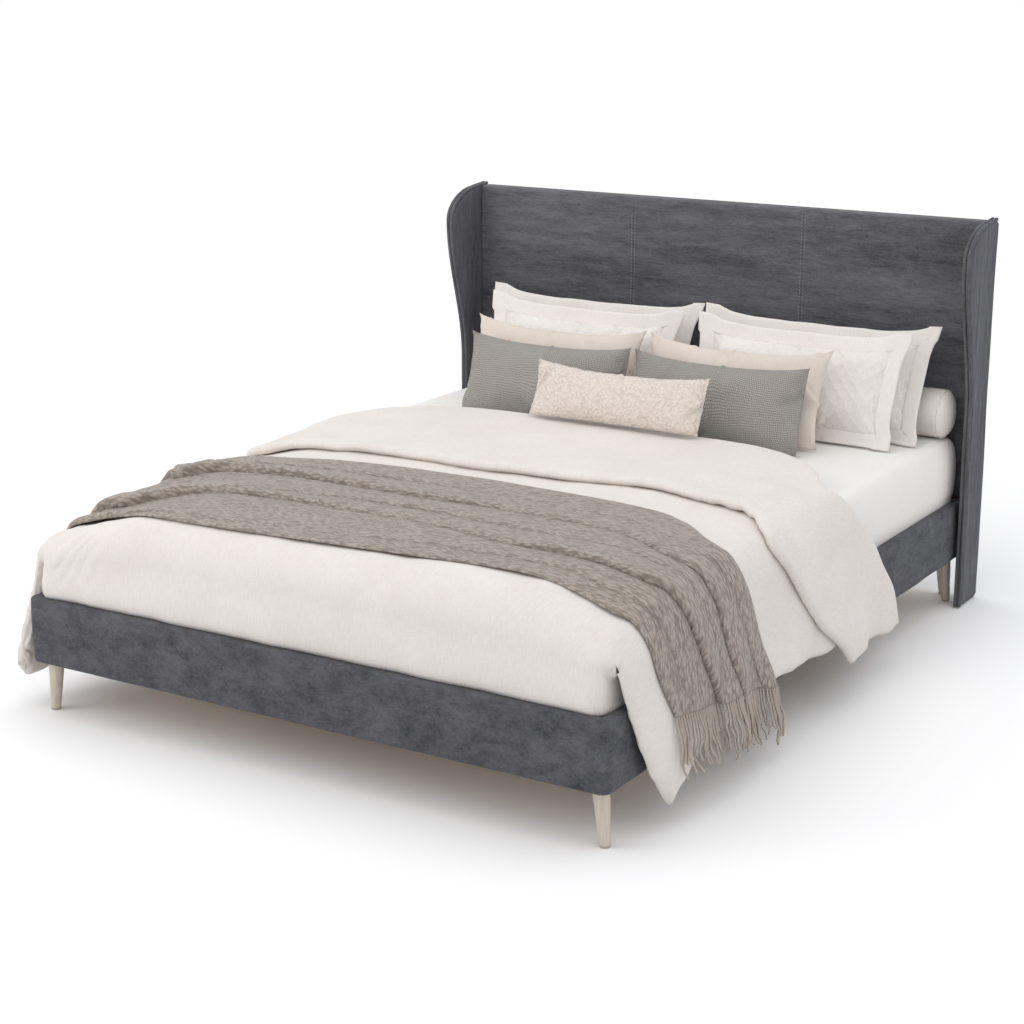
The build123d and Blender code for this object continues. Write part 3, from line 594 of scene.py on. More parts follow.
@dataclass(frozen=True)
class Plush(Finish):
    """Chenille knit or boucle: short, soft, thick worms of yarn, with shade painted into the gaps between
    them.
    """

    long: float
    wide: float
    relief: float
    grain: float = 0.35

    def pattern(self, tree: NodeTree) -> Pattern:
        """Lays cells stretched along the rows over a fine fuzz, and paints shade in the gaps between the
        cells.

        Args:
            tree: the material's node tree.

        Returns:
            What Finish.pattern returns.
        """
        cloth = add_node(tree, "ShaderNodeUVMap", uv_map="UVMap").outputs[0]
        wander = add_node(tree, "ShaderNodeTexNoise",
                          {"Vector": cloth, "Scale": 0.35 / self.wide, "Detail": 2.0})
        bent = add_node(tree, "ShaderNodeVectorMath", {
            0: wander.outputs["Color"], 1: (self.long * 0.5, self.wide, 0.0), 2: cloth,
        }, operation="MULTIPLY_ADD")
        turned = add_node(tree, "ShaderNodeMapping", {
            "Vector": bent.outputs[0], "Scale": (1 / self.long, 1 / self.wide, 1.0)})
        worms = add_node(tree, "ShaderNodeTexVoronoi", {
            "Vector": turned.outputs[0], "Scale": 1.0, "Smoothness": 0.35}, feature="SMOOTH_F1")
        fuzz = add_node(tree, "ShaderNodeTexNoise", {
            "Vector": cloth, "Scale": 1.4 / self.wide, "Detail": 3.0, "Roughness": 0.7})
        low = add_node(tree, "ShaderNodeMath", {
            0: fuzz.outputs[0], 1: self.grain, 2: worms.outputs["Distance"],
        }, operation="MULTIPLY_ADD").outputs[0]
        # The second, darker colour goes where the relief is low, in the gaps between the worms: painted
        # shade, with the fuzz adding random tone
        share = add_node(tree, "ShaderNodeMapRange", {
            "Value": low, "From Min": 0.22 + self.grain / 2, "From Max": 0.72 + self.grain / 2})
        height = add_node(tree, "ShaderNodeMath", {0: 1.0, 1: low}, operation="SUBTRACT")
        return share.outputs[0], height.outputs[0], self.relief, {
            "Roughness": 0.95, "Sheen Weight": 0.25, "Sheen Roughness": 0.5}


@dataclass(frozen=True)
class BasketWeave(Finish):
    """Coarse weave: pairs of soft yarns that pass over and under each other."""

    yarn: float
    relief: float = 2.2 * MM

    def pattern(self, tree: NodeTree) -> Pattern:
        """Rounds each yarn, swaps which one lies on top in a chequer, and paints shade where the yarns
        dip.

        Args:
            tree: the material's node tree.

        Returns:
            What Finish.pattern returns.
        """
        cloth = add_node(tree, "ShaderNodeUVMap", uv_map="UVMap").outputs[0]
        wander = add_node(tree, "ShaderNodeTexNoise",
                          {"Vector": cloth, "Scale": 45.0, "Detail": 3.0})
        bent = add_node(tree, "ShaderNodeVectorMath", {
            0: wander.outputs["Color"], 1: (self.yarn * 1.5, self.yarn * 1.5, 0.0), 2: cloth,
        }, operation="MULTIPLY_ADD")
        apart = add_node(tree, "ShaderNodeSeparateXYZ", {0: bent.outputs[0]}).outputs
        waves = []
        rounds = []
        for part in (0, 1):
            turn = add_node(tree, "ShaderNodeMath", {0: apart[part], 1: math.pi / self.yarn},
                            operation="MULTIPLY")
            waves.append(add_node(tree, "ShaderNodeMath", {0: turn.outputs[0]},
                                  operation="SINE").outputs[0])
            rounds.append(add_node(tree, "ShaderNodeMath", {0: waves[-1]},
                                   operation="ABSOLUTE").outputs[0])
        over = add_node(tree, "ShaderNodeMath", {0: waves[0], 1: waves[1]}, operation="MULTIPLY")
        which = add_node(tree, "ShaderNodeMapRange",
                         {"Value": over.outputs[0], "From Min": -0.25, "From Max": 0.25})
        height = add_node(tree, "ShaderNodeMix",
                          {0: which.outputs[0], 2: rounds[0], 3: rounds[1]}, data_type="FLOAT")
        fuzz = add_node(tree, "ShaderNodeTexNoise",
                        {"Vector": cloth, "Scale": 420.0, "Detail": 2.0})
        top = add_node(tree, "ShaderNodeMath", {0: fuzz.outputs[0], 1: 0.5, 2: height.outputs[0]},
                       operation="MULTIPLY_ADD").outputs[0]
        # The second, darker colour goes where the yarns dip under each other: painted shade in the
        # weave's hollows, with the fuzz adding random tone
        share = add_node(tree, "ShaderNodeMapRange",
                         {"Value": top, "From Min": 1.2, "From Max": 0.35})
        return share.outputs[0], top, self.relief, {"Roughness": 0.92, "Sheen Weight": 0.2}


@dataclass(frozen=True)
class Timber(Finish):
    """Sanded or painted wood: long grain, seen plainly or as faint ridges under paint."""

    along: tuple[float, float, float]
    roughness: float
    coat: float = 0.0
    relief: float = 0.25 * MM

    def pattern(self, tree: NodeTree) -> Pattern:
        """Stretches the grain along one axis.

        Args:
            tree: the material's node tree.

        Returns:
            What Finish.pattern returns.
        """
        place = add_node(tree, "ShaderNodeTexCoord").outputs["Object"]
        turned = add_node(tree, "ShaderNodeMapping", {"Vector": place, "Scale": self.along})
        grain = add_node(tree, "ShaderNodeTexNoise", {
            "Vector": turned.outputs[0], "Scale": 1.0, "Detail": 6.0, "Roughness": 0.6,
            "Distortion": 1.2}).outputs[0]
        share = add_node(tree, "ShaderNodeMapRange",
                         {"Value": grain, "From Min": 0.32, "From Max": 0.7})
        return share.outputs[0], grain, self.relief, {
            "Roughness": self.roughness, "Coat Weight": self.coat, "Coat Roughness": 0.35}


@dataclass(frozen=True)
class Speckled(Finish):
    """Zinc plate, powder coat, moulded nylon or felt: one colour with a fine grain."""

    grain: float
    roughness: float
    metallic: float = 0.0
    relief: float = 0.1 * MM

    def pattern(self, tree: NodeTree) -> Pattern:
        """Spreads one fine noise over the piece.

        Args:
            tree: the material's node tree.

        Returns:
            What Finish.pattern returns.
        """
        place = add_node(tree, "ShaderNodeTexCoord").outputs["Object"]
        specks = add_node(tree, "ShaderNodeTexNoise",
                          {"Vector": place, "Scale": 1 / self.grain, "Detail": 3.0}).outputs[0]
        return specks, specks, self.relief, {
            "Roughness": self.roughness, "Metallic": self.metallic}


HEADBOARD_VELVET = Velvet("brushed_velvet_headboard", "333336", "6e6e73", Nap.ACROSS)
WING_VELVET = Velvet("brushed_velvet_wings", "36363a", "6c6c72", Nap.UPRIGHT)
RAIL_VELVET = Velvet("brushed_velvet_rails", "2a2b2e", "606066", Nap.CLOUDED, 22 * MM, 6 * MM,
                     80 * MM)
BACK_CLOTH = Velvet("flat_velvet_back", "38383b", "545458", Nap.ACROSS)
DUVET_LINEN = Linen("washed_linen_duvet", "e9e4df", "d8d0c8")
SHEET_COTTON = Linen("cotton_percale_sheet", "f2f0ec", "e8e5e0", relief=0.15 * MM)
PILLOW_LINEN = Linen("washed_linen_pillow", "efebe6", "e1dad3")
PILLOW_QUILTED = Linen("quilted_linen_pillow", "efebe6", "e1dad3", relief=1.1 * MM, quilt=24 * MM)
BOLSTER_LINEN = Linen("washed_linen_bolster", "e9e5df", "dad2c9")
TAUPE_COTTON = Linen("cotton_sateen_taupe", "e0d4c9", "d3c6ba", relief=0.15 * MM)
TICKING = Linen("knitted_ticking", "f1f0ed", "dcdad5", thread=5 * MM, relief=0.8 * MM)
STITCH_THREAD = Linen("polyester_thread_grey", "b6b7bd", "9c9da4")
# The throw's second colour is painted shade in the gaps between the chenille worms
THROW_KNIT = Plush("chenille_knit_taupe", "b4a99d", "867b70", 16 * MM, 5.4 * MM, 5.0 * MM, 0.5)
FRINGE_YARN = Speckled("twisted_yarn_taupe", "c4b9ae", "a3988d", 3 * MM, 0.95, 0.0, 0.8 * MM)
# The boucle's second colour is painted shade in the gaps between the loops
BOUCLE = Plush("looped_boucle_cream", "eae0d6", "dbcec2", 8 * MM, 7 * MM, 5.0 * MM)
# The weave's second colour is painted shade where the yarns dip under each other
GREY_WEAVE = BasketWeave("basket_weave_grey", "b8b3ac", "77716a", 5.2 * MM)
PINE = Timber("sanded_pine", "dcbd92", "bf925e", (2.0, 90.0, 90.0), 0.6)
PLYWOOD = Timber("birch_plywood", "d9bd95", "b28c60", (30.0, 60.0, 4.0), 0.65)
LEG_PAINT = Timber("satin_paint_on_beech", "d2c8b9", "bfb4a3", (160.0, 160.0, 6.0), 0.42, 0.2)
ZINC = Speckled("zinc_plated_steel", "c2c4c6", "94979a", 4 * MM, 0.38, 1.0)
POWDER_COAT = Speckled("powder_coat_black", "232326", "2e2e32", 1.5 * MM, 0.5)
NYLON = Speckled("moulded_nylon_black", "1c1c1e", "29292c", 2 * MM, 0.55)
FELT = Speckled("hard_felt_pale", "b9b0a3", "a39a8d", 2 * MM, 0.95, 0.0, 0.4 * MM)


# The bed's upholstery

@dataclass
class Rails:
    """Padded cover of the side and foot rails, wrapped round the rounded corners in one length."""

    corner: float = 24 * MM
    edge: float = 8 * MM
    belly: float = 1.6 * MM
    step: float = 14 * MM
    gap: float = 0.4 * MM

    def path(self) -> Array:
        """Line round the rails in plan, from the right head end to the left.

        Returns:
            For each station X and Y, the way out, and the way in past the corner's centre.
        """
        outer = Span.of("side_rail_cover_right")
        foot = Span.of("foot_rail_cover").low.y
        edge = outer.high.x
        turn = foot + self.corner
        centre = edge - self.corner
        half = [(edge, y, 1.0, 0.0, -1.0, 0.0) for y in np.arange(outer.high.y, turn, -self.step)]
        for angle in np.linspace(0, math.pi / 2, 7):
            way = math.cos(angle), -math.sin(angle)
            half.append((centre + self.corner * way[0], turn + self.corner * way[1],
                         *way, -1.0, 1.0))
        for x in np.arange(centre - self.step, self.step / 2, -self.step):
            half.append((x, foot, 0.0, -1.0, 0.0, 1.0))
        right = np.array(half)
        return np.vstack([right, right[::-1] * (-1, 1, -1, 1, -1, 1)])

    def section(self) -> Array:
        """Cross-section of the cover.

        Returns:
            Depth in from the outer face, and height, of each point round it.
        """
        rail = Span.of("side_rail_cover_right")
        board = Span.of("side_rail_board_right")
        low, high = rail.low.z, rail.high.z
        depth = rail.high.x - rail.low.x
        pad = rail.high.x - board.high.x - self.gap
        e = self.edge
        bend = [1 - math.cos(a) for a in np.linspace(0, math.pi / 2, 6)]
        face = np.linspace(low + e, high - e, 14)
        outer = [(e * bend[-1 - k], low + e * bend[k]) for k in range(6)]
        swell = [(-self.belly * math.sin(math.pi * (z - low) / (high - low)), z) for z in face[1:-1]]
        over = [(e * bend[k], high - e * bend[-1 - k]) for k in range(6)]
        inside = [
            (depth - 2 * MM, high), (depth, high - 2 * MM), (depth, board.high.z + self.gap),
            (pad, board.high.z + self.gap), (pad, board.low.z - self.gap),
            (depth, board.low.z - self.gap), (depth, low + 2 * MM), (depth - 2 * MM, low),
        ]
        return np.array(outer + swell + over + inside)

    def build(self) -> Object:
        """Sweeps the cover round the bed.

        Returns:
            The finished cover.
        """
        path = self.path()
        section = self.section()
        depth = section[None, :, :1]
        past = np.maximum(depth - self.corner, 0)
        rings = np.empty((len(path), len(section), 3))
        rings[..., :2] = path[:, None, :2] - path[:, None, 2:4] * (depth - past)
        rings[..., :2] += path[:, None, 4:] * past
        rings[..., 2] = section[None, :, 1]
        travel = lengths(path[:, :2])
        flat = np.stack(np.broadcast_arrays(travel[:, None], section[None, :, 1]), -1)
        soft = ripples(flat.reshape(-1, 2), 0.22, 11) * 0.9 * MM
        soft += ripples(flat.reshape(-1, 2), 0.06, 12) * 0.35 * MM
        shown = ramp(section[:, 0], 14 * MM, 6 * MM)
        rings[..., :2] += (soft.reshape(rings.shape[:2]) * shown)[..., None] * path[:, None, 2:4]
        made = make_object("rail_upholstery", rings.reshape(-1, 3), ring_skin(rings),
                           RAIL_VELVET.material(), flat.reshape(-1, 2))
        settle(made, Body.FRAME,
               ["side_rail_cover_left", "side_rail_cover_right", "foot_rail_cover"])
        return made


class LineWork:
    """What geometry nodes make along lines. Each kind's node tree is made once."""

    key: str

    def values(self) -> dict[str, object]:
        """The tree's named inputs besides the material."""
        raise NotImplementedError

    def grow(self, tree: NodeTree, given: Sequence[NodeSocket], curve: NodeSocket) -> NodeSocket:
        """Builds the nodes that tell one kind from another.

        Args:
            tree: the node tree.
            given: the tree's inputs by name.
            curve: the lines as curves.

        Returns:
            The geometry that they make.
        """
        raise NotImplementedError

    def tube(
        self, tree: NodeTree, given: Sequence[NodeSocket], curve: NodeSocket,
        sides: int | NodeSocket, scale: float | NodeSocket = 1.0,
    ) -> NodeSocket:
        """Adds a smooth tube with closed ends round curves.

        Args:
            tree: the node tree.
            given: the tree's inputs by name, of which Radius is used.
            curve: the curves.
            sides: how many sides the tube has.
            scale: how thick it is along the curves, as a share of the radius.

        Returns:
            The tube.
        """
        profile = add_node(tree, "GeometryNodeCurvePrimitiveCircle",
                           {"Resolution": sides, "Radius": given["Radius"]})
        swept = add_node(tree, "GeometryNodeCurveToMesh", {
            "Curve": curve, "Profile Curve": profile.outputs[0], "Scale": scale, "Fill Caps": True})
        return add_node(tree, "GeometryNodeSetShadeSmooth", {0: swept.outputs[0]}).outputs[0]

    def tree(self, values: dict[str, object]) -> NodeTree:
        """Finds or builds the node tree.

        Args:
            values: a value for each input by name, whose types the sockets get.

        Returns:
            The tree, from lines to meshes in their material.
        """
        found = bpy.data.node_groups.get(self.key)
        if found is not None:
            return found
        tree = bpy.data.node_groups.new(self.key, "GeometryNodeTree")
        kinds = {float: "Float", int: "Int", Material: "Material"}
        sockets = {name: kinds[type(value)] for name, value in values.items()}
        for name, kind in {"Geometry": "Geometry", **sockets}.items():
            tree.interface.new_socket(name, in_out="INPUT", socket_type="NodeSocket" + kind)
        tree.interface.new_socket("Geometry", in_out="OUTPUT", socket_type="NodeSocketGeometry")
        given = add_node(tree, "NodeGroupInput").outputs
        curve = add_node(tree, "GeometryNodeMeshToCurve", {0: given["Geometry"]})
        grown = self.grow(tree, given, curve.outputs[0])
        real = add_node(tree, "GeometryNodeRealizeInstances", {0: grown})
        dyed = add_node(tree, "GeometryNodeSetMaterial",
                        {0: real.outputs[0], "Material": given["Material"]})
        add_node(tree, "NodeGroupOutput", {0: dyed.outputs[0]})
        return tree

    def build(
        self, name: str, lines: Sequence[Array], finish: Finish, closed: bool = False
    ) -> Object:
        """Makes the work along lines.

        Args:
            name: the piece's name.
            lines: the points of each line.
            finish: the work's finish.
            closed: whether each line joins up with its own start.

        Returns:
            The work as one plain mesh.
        """
        edges = []
        start = 0
        for line in lines:
            edges += [(start + k, start + k + 1) for k in range(len(line) - 1)]
            if closed:
                edges.append((start + len(line) - 1, start))
            start += len(line)
        mesh = bpy.data.meshes.new(name)
        mesh.from_pydata(np.vstack(lines).tolist(), edges, [])
        made = linked(name, mesh)
        values = {**self.values(), "Material": finish.material()}
        modifier = made.modifiers.new(self.key, "NODES")
        modifier.node_group = self.tree(values)
        for socket in modifier.node_group.interface.items_tree:
            if socket.in_out == "INPUT" and socket.name in values:
                modifier[socket.identifier] = values[socket.name]
        return applied(made)


@dataclass
class StitchRun(LineWork):
    """Row of stitches: a capsule of thread on each point of the line."""

    key = "stitch_run"
    length: float = 7 * MM
    gap: float = 3 * MM
    thread: float = 1.3 * MM

    def values(self) -> dict[str, object]:
        """Pitch, length and thickness of the stitches."""
        return {"Pitch": self.length + self.gap, "Length": self.length, "Thread": self.thread}

    def grow(self, tree: NodeTree, given: Sequence[NodeSocket], curve: NodeSocket) -> NodeSocket:
        """Sets a stretched ball on each point.

        Args:
            tree: the node tree.
            given: the tree's inputs by name.
            curve: the lines as curves.

        Returns:
            The stitches.
        """
        spaced = add_node(tree, "GeometryNodeResampleCurve",
                          {"Curve": curve, "Length": given["Pitch"]}, mode="LENGTH")
        tangent = add_node(tree, "GeometryNodeInputTangent")
        turn = add_node(tree, "FunctionNodeAlignRotationToVector", {"Vector": tangent.outputs[0]},
                        axis="Z")
        size = add_node(tree, "ShaderNodeCombineXYZ",
                        {0: given["Thread"], 1: given["Thread"], 2: given["Length"]})
        ball = add_node(tree, "GeometryNodeMeshUVSphere", {"Segments": 6, "Rings": 4, "Radius": 0.5})
        return add_node(tree, "GeometryNodeInstanceOnPoints", {
            "Points": spaced.outputs[0], "Instance": ball.outputs[0],
            "Rotation": turn.outputs[0], "Scale": size.outputs[0]}).outputs[0]


@dataclass
class Piping(LineWork):
    """Covered cord: a tube whose radius wanders a little."""

    key = "piping"
    radius: float
    sides: int = 10
    crumple: float = 0.05

    def values(self) -> dict[str, object]:
        """The cord's sizes, with a point on each step of its length."""
        return {"Radius": self.radius, "Crumple": self.crumple, "Pitch": 1.4 * self.radius,
                "Sides": self.sides}

    def grow(self, tree: NodeTree, given: Sequence[NodeSocket], curve: NodeSocket) -> NodeSocket:
        """Lays the tube.

        Args:
            tree: the node tree.
            given: the tree's inputs by name.
            curve: the lines as curves.

        Returns:
            The cords.
        """
        spaced = add_node(tree, "GeometryNodeResampleCurve",
                          {"Curve": curve, "Length": given["Pitch"]}, mode="LENGTH")
        noise = add_node(tree, "ShaderNodeTexNoise", {"Scale": 45.0, "Detail": 2.0})
        wander = add_node(tree, "ShaderNodeMath",
                          {0: noise.outputs[0], 1: given["Crumple"], 2: 1.0},
                          operation="MULTIPLY_ADD").outputs[0]
        return self.tube(tree, given, spaced.outputs[0], given["Sides"], wander)


@dataclass
class Fringe(LineWork):
    """Twisted strands of uneven length that hang from one end of the throw."""

    key = "fringe"
    side: Side
    strands: int = 54
    length: float = 0.118
    radius: float = 2.8 * MM
    wander: float = 0.050
    outward: float = 0.024

    def values(self) -> dict[str, object]:
        """The strands' sizes, how far they stray from upright, and the seed of one side."""
        return {"Length": self.length, "Radius": self.radius, "Wander": self.wander,
                "Outward": self.outward * self.side.value, "Strands": self.strands,
                "Seed": 7 + self.side.value}

    def grow(self, tree: NodeTree, given: Sequence[NodeSocket], curve: NodeSocket) -> NodeSocket:
        """Hangs lines along the hem, lets them wander, and makes them tubes.

        Args:
            tree: the node tree.
            given: the tree's inputs by name.
            curve: the hem as a curve.

        Returns:
            The strands.
        """
        spaced = add_node(tree, "GeometryNodeResampleCurve",
                          {"Curve": curve, "Count": given["Strands"]}, mode="COUNT")
        line = add_node(tree, "GeometryNodeCurvePrimitiveLine", {"End": (0.0, 0.0, -1.0)})
        fine = add_node(tree, "GeometryNodeResampleCurve", {"Curve": line.outputs[0], "Count": 16},
                        mode="COUNT")
        longer = add_node(tree, "FunctionNodeRandomValue",
                          {2: 0.74, 3: 1.14, "Seed": given["Seed"]}, data_type="FLOAT")
        tall = add_node(tree, "ShaderNodeMath", {0: longer.outputs[1], 1: given["Length"]},
                        operation="MULTIPLY")
        size = add_node(tree, "ShaderNodeCombineXYZ", {0: 1.0, 1: 1.0, 2: tall.outputs[0]})
        lean = add_node(tree, "FunctionNodeRandomValue", {
            0: (-0.05, -0.03, -3.0), 1: (0.05, 0.03, 3.0), "Seed": given["Seed"],
        }, data_type="FLOAT_VECTOR")
        hung = add_node(tree, "GeometryNodeInstanceOnPoints", {
            "Points": spaced.outputs[0], "Instance": fine.outputs[0],
            "Rotation": lean.outputs[0], "Scale": size.outputs[0]})
        real = add_node(tree, "GeometryNodeRealizeInstances", {0: hung.outputs[0]})
        share = add_node(tree, "GeometryNodeSplineParameter").outputs["Factor"]
        noise = add_node(tree, "ShaderNodeTexNoise", {"Scale": 15.0, "Detail": 1.0},
                         noise_dimensions="3D")
        centred = add_node(tree, "ShaderNodeVectorMath",
                           {0: noise.outputs["Color"], 1: (0.5, 0.5, 0.5)}, operation="SUBTRACT")
        reach, away = (add_node(tree, "ShaderNodeMath", {0: share, 1: given[name]},
                                operation="MULTIPLY").outputs[0] for name in ("Wander", "Outward"))
        sway = add_node(tree, "ShaderNodeVectorMath", {0: centred.outputs[0], "Scale": reach},
                        operation="SCALE")
        push = add_node(tree, "ShaderNodeCombineXYZ", {0: away})
        moved = add_node(tree, "ShaderNodeVectorMath", {0: sway.outputs[0], 1: push.outputs[0]},
                         operation="ADD")
        wavy = add_node(tree, "GeometryNodeSetPosition",
                        {"Geometry": real.outputs[0], "Offset": moved.outputs[0]})
        return self.tube(tree, given, wavy.outputs[0], 5)


@dataclass
class Headboard:
    """Three padded sections, sewn at two upright seams with a double row of stitches."""

    seam_round: float = 1.2 * MM
    top_round: float = 11 * MM
    crown: float = 2.2 * MM
    step: float = 13 * MM
    stitch_offset: float = 5.5 * MM
    # Puckers beside the seams: how deep, how far from the seam, how far apart
    pucker: float = 0.35 * MM
    pucker_reach: float = 9 * MM
    pucker_pitch: float = 26 * MM

    def section(self, panel: Span, board: Span) -> Array:
        """Outline of a panel: up the front, over the top and back along the board.

        Args:
            panel: the panel's box.
            board: the box of the board behind it.

        Returns:
            Y and Z of each point.
        """
        front, back = panel.low.y, panel.high.y
        low, high = panel.low.z, panel.high.z
        r = self.top_round
        bend = np.linspace(0, math.pi / 2, 7)
        rise = np.linspace(low, high - r, int((high - low) / self.step))
        line = [(front, z) for z in rise]
        line += [(front + r * (1 - math.cos(a)), high - r + r * math.sin(a)) for a in bend[1:]]
        line += [(back - r * math.cos(a), high - r + r * math.sin(a)) for a in bend[::-1]]
        clear = 0.3 * MM
        line += [(back, board.high.z + clear), (board.low.y - clear, board.high.z + clear),
                 (board.low.y - clear, low)]
        return np.array(line)

    def panel(self, name: str) -> Object:
        """One padded section.

        Args:
            name: the frame's node that it stands for.

        Returns:
            The finished section.
        """
        span = Span.of(name)
        section = self.section(span, Span.of("headboard_board"))
        ends = span.low.x, span.high.x
        inner = np.arange(ends[0] + 4 * self.seam_round, ends[1] - 4 * self.seam_round, self.step)
        shares = np.array([0, 0.08, 0.3, 0.6, 1.0, 1.8]) * self.seam_round
        stations = np.concatenate([ends[0] + shares, inner, ends[1] - shares[::-1]])
        rings = np.empty((len(stations), len(section), 3))
        rings[..., 0] = stations[:, None]
        rings[..., 1:] = section[None]
        gone = np.minimum(stations - ends[0], ends[1] - stations)
        left = np.clip(1 - gone / self.seam_round, 0, 1)
        sink = self.seam_round * (1 - np.sqrt(1 - left ** 2))
        front = ramp(section[:, 0], span.low.y + 6 * MM, span.low.y)
        top = ramp(section[:, 1], span.high.z - self.top_round, span.high.z - 2 * MM)
        middle = np.sin(math.pi * (stations - ends[0]) / (ends[1] - ends[0])) ** 0.5
        flat = np.stack(np.broadcast_arrays(stations[:, None], section[None, :, 1]), -1)
        places = flat.reshape(-1, 2)
        soft = ripples(places, 0.3, 21) * 0.8 + ripples(places, 0.07, 22) * 0.25
        swell = self.crown * middle[:, None] + soft.reshape(rings.shape[:2]) * MM
        pucker = self.pucker * np.exp(-gone[:, None] / self.pucker_reach) * np.sin(
            TAU * section[None, :, 1] / self.pucker_pitch)
        rings[..., 1] += (sink[:, None] - swell + pucker) * front[None]
        rings[..., 2] -= sink[:, None] * top[None]
        made = make_object(name + "_upholstery", rings.reshape(-1, 3), ring_skin(rings),
                           HEADBOARD_VELVET.material(), places)
        settle(made, Body.FRAME, [name])
        return made

    def stitches(self) -> Object:
        """Two rows of stitches beside each seam.

        Returns:
            The stitches as one piece.
        """
        centre = Span.of("headboard_panel_centre")
        heights = np.arange(centre.low.z + 4 * MM, centre.high.z - self.top_round, self.step)
        front = np.full(len(heights), centre.low.y - 0.5 * MM)
        lines = [np.column_stack([np.full(len(heights), seam + way * self.stitch_offset), front, heights])
                 for seam in (centre.low.x, centre.high.x) for way in (-1, 1)]
        made = StitchRun().build("headboard_stitches", lines, STITCH_THREAD)
        return settle(made, Body.FRAME, [])

    def back(self) -> Object:
        """Flat cover of the back.

        Returns:
            The finished cover.
        """
        span = Span.of("headboard_back_cover")
        xs = np.linspace(span.high.x, span.low.x, 90)
        zs = np.linspace(span.low.z, span.high.z, 60)
        grid = np.stack(np.meshgrid(xs, zs), -1)
        faces = grid_faces(numbered(grid))
        flat = grid.reshape(-1, 2)
        soft = ripples(flat, 0.3, 31) * 0.5 * MM
        points = np.stack([flat[:, 0], span.mid.y - np.abs(soft), flat[:, 1]], -1)
        shell = padded_shell(points, faces, flat, span.high.y - span.low.y, 4 * MM, 0.3)
        made = make_object("headboard_back_upholstery", *shell[:2], BACK_CLOTH.material(), shell[2])
        settle(made, Body.FRAME, ["headboard_back_cover"])
        return made

    def build(self) -> None:
        """Builds the sections, their stitches and the back."""
        for place in ("left", "centre", "right"):
            self.panel(f"headboard_panel_{place}")
        self.stitches()
        self.back()


@dataclass
class Wing:
    """Upholstered wing: flat sides, and a doubled piping along its curved front and top."""

    side: Side
    low_depth: float = 140 * MM
    high_depth: float = 223 * MM
    curve_start: float = 580 * MM
    nose_height: float = 1022 * MM
    shoulder_depth: float = 98 * MM
    shoulder_drop: float = 9 * MM
    bevel: float = 6 * MM
    piping: float = 5.4 * MM
    cover_inset: float = 7 * MM
    rounding: float = 2.5 * MM

    def front_line(self, inset: float) -> Array:
        """Front and top line in Y and Z, drawn in from the outer edge.

        Args:
            inset: how far the line is drawn in.

        Returns:
            Points from the floor end up and back to the tip.
        """
        back = Span.of(f"wing_board_{self.side.word}").high.y
        whole = Span.of(f"wing_piping_{self.side.word}")
        top = whole.high.z
        foot = np.array([back - self.low_depth + inset, whole.low.z])
        bend = np.array([foot[0], self.curve_start])
        nose = np.array([back - self.high_depth + inset, self.nose_height])
        shoulder = np.array([back - self.shoulder_depth, top - self.shoulder_drop - inset])
        tip = np.array([back - self.bevel, top - inset])
        up = np.array([0.0, 1.0])
        runs = [foot + (bend - foot) * np.linspace(0, 1, 30)[:-1, None]]
        t = np.linspace(0, 1, 40)[:, None]
        for start, end, last in ((bend, nose, up), (nose, shoulder, unit(tip - shoulder))):
            chord = np.linalg.norm(end - start)
            runs.append(((2 * t ** 3 - 3 * t ** 2 + 1) * start + (t ** 3 - 2 * t ** 2 + t) * up * chord
                         + (3 * t ** 2 - 2 * t ** 3) * end + (t ** 3 - t ** 2) * last * chord)[:-1])
        runs.append(shoulder + (tip - shoulder) * np.linspace(0, 1, 9)[:, None])
        return np.vstack(runs)

    def cover(self) -> Object:
        """The padded board between the pipings and the back.

        Returns:
            The finished cover.
        """
        name = f"wing_cover_{self.side.word}"
        span = Span.of(name)
        front = self.front_line(self.cover_inset)
        heights = np.linspace(span.low.z, span.high.z, len(front))
        rear = np.stack([np.full(len(front), span.high.y), heights], -1)
        share = np.linspace(0, 1, 22)[None, :, None]
        flat = front[:, None] * (1 - share) + rear[:, None] * share
        faces = grid_faces(numbered(flat))
        flat = flat.reshape(-1, 2)
        points = np.stack([np.full(len(flat), span.mid.x), flat[:, 0], flat[:, 1]], -1)
        points, faces, flat = padded_shell(points, faces, flat, span.high.x - span.low.x,
                                           self.rounding, 0.2)
        soft = ripples(points[:, 1:], 0.25, 41 + self.side.value) * 0.6 * MM
        points[:, 0] += np.sign(points[:, 0] - span.mid.x) * soft
        made = make_object(name + "_upholstery", points, faces, WING_VELVET.material(), flat)
        settle(made, Body.FRAME, [name])
        return made

    def pipings(self) -> Object:
        """Two rolls of covered cord side by side along the edge.

        Returns:
            The rolls as one piece.
        """
        name = f"wing_piping_{self.side.word}"
        span = Span.of(name)
        line = self.front_line(self.piping)
        rolls = [np.column_stack([np.full(len(line), x), line])
                 for x in (span.low.x + self.piping, span.high.x - self.piping)]
        made = Piping(self.piping).build(name + "_rolls", rolls, WING_VELVET)
        return settle(made, Body.FRAME, [name])

    def build(self) -> None:
        """Builds the wing's cover and its pipings."""
        self.cover()
        self.pipings()


# Mattress and sheet

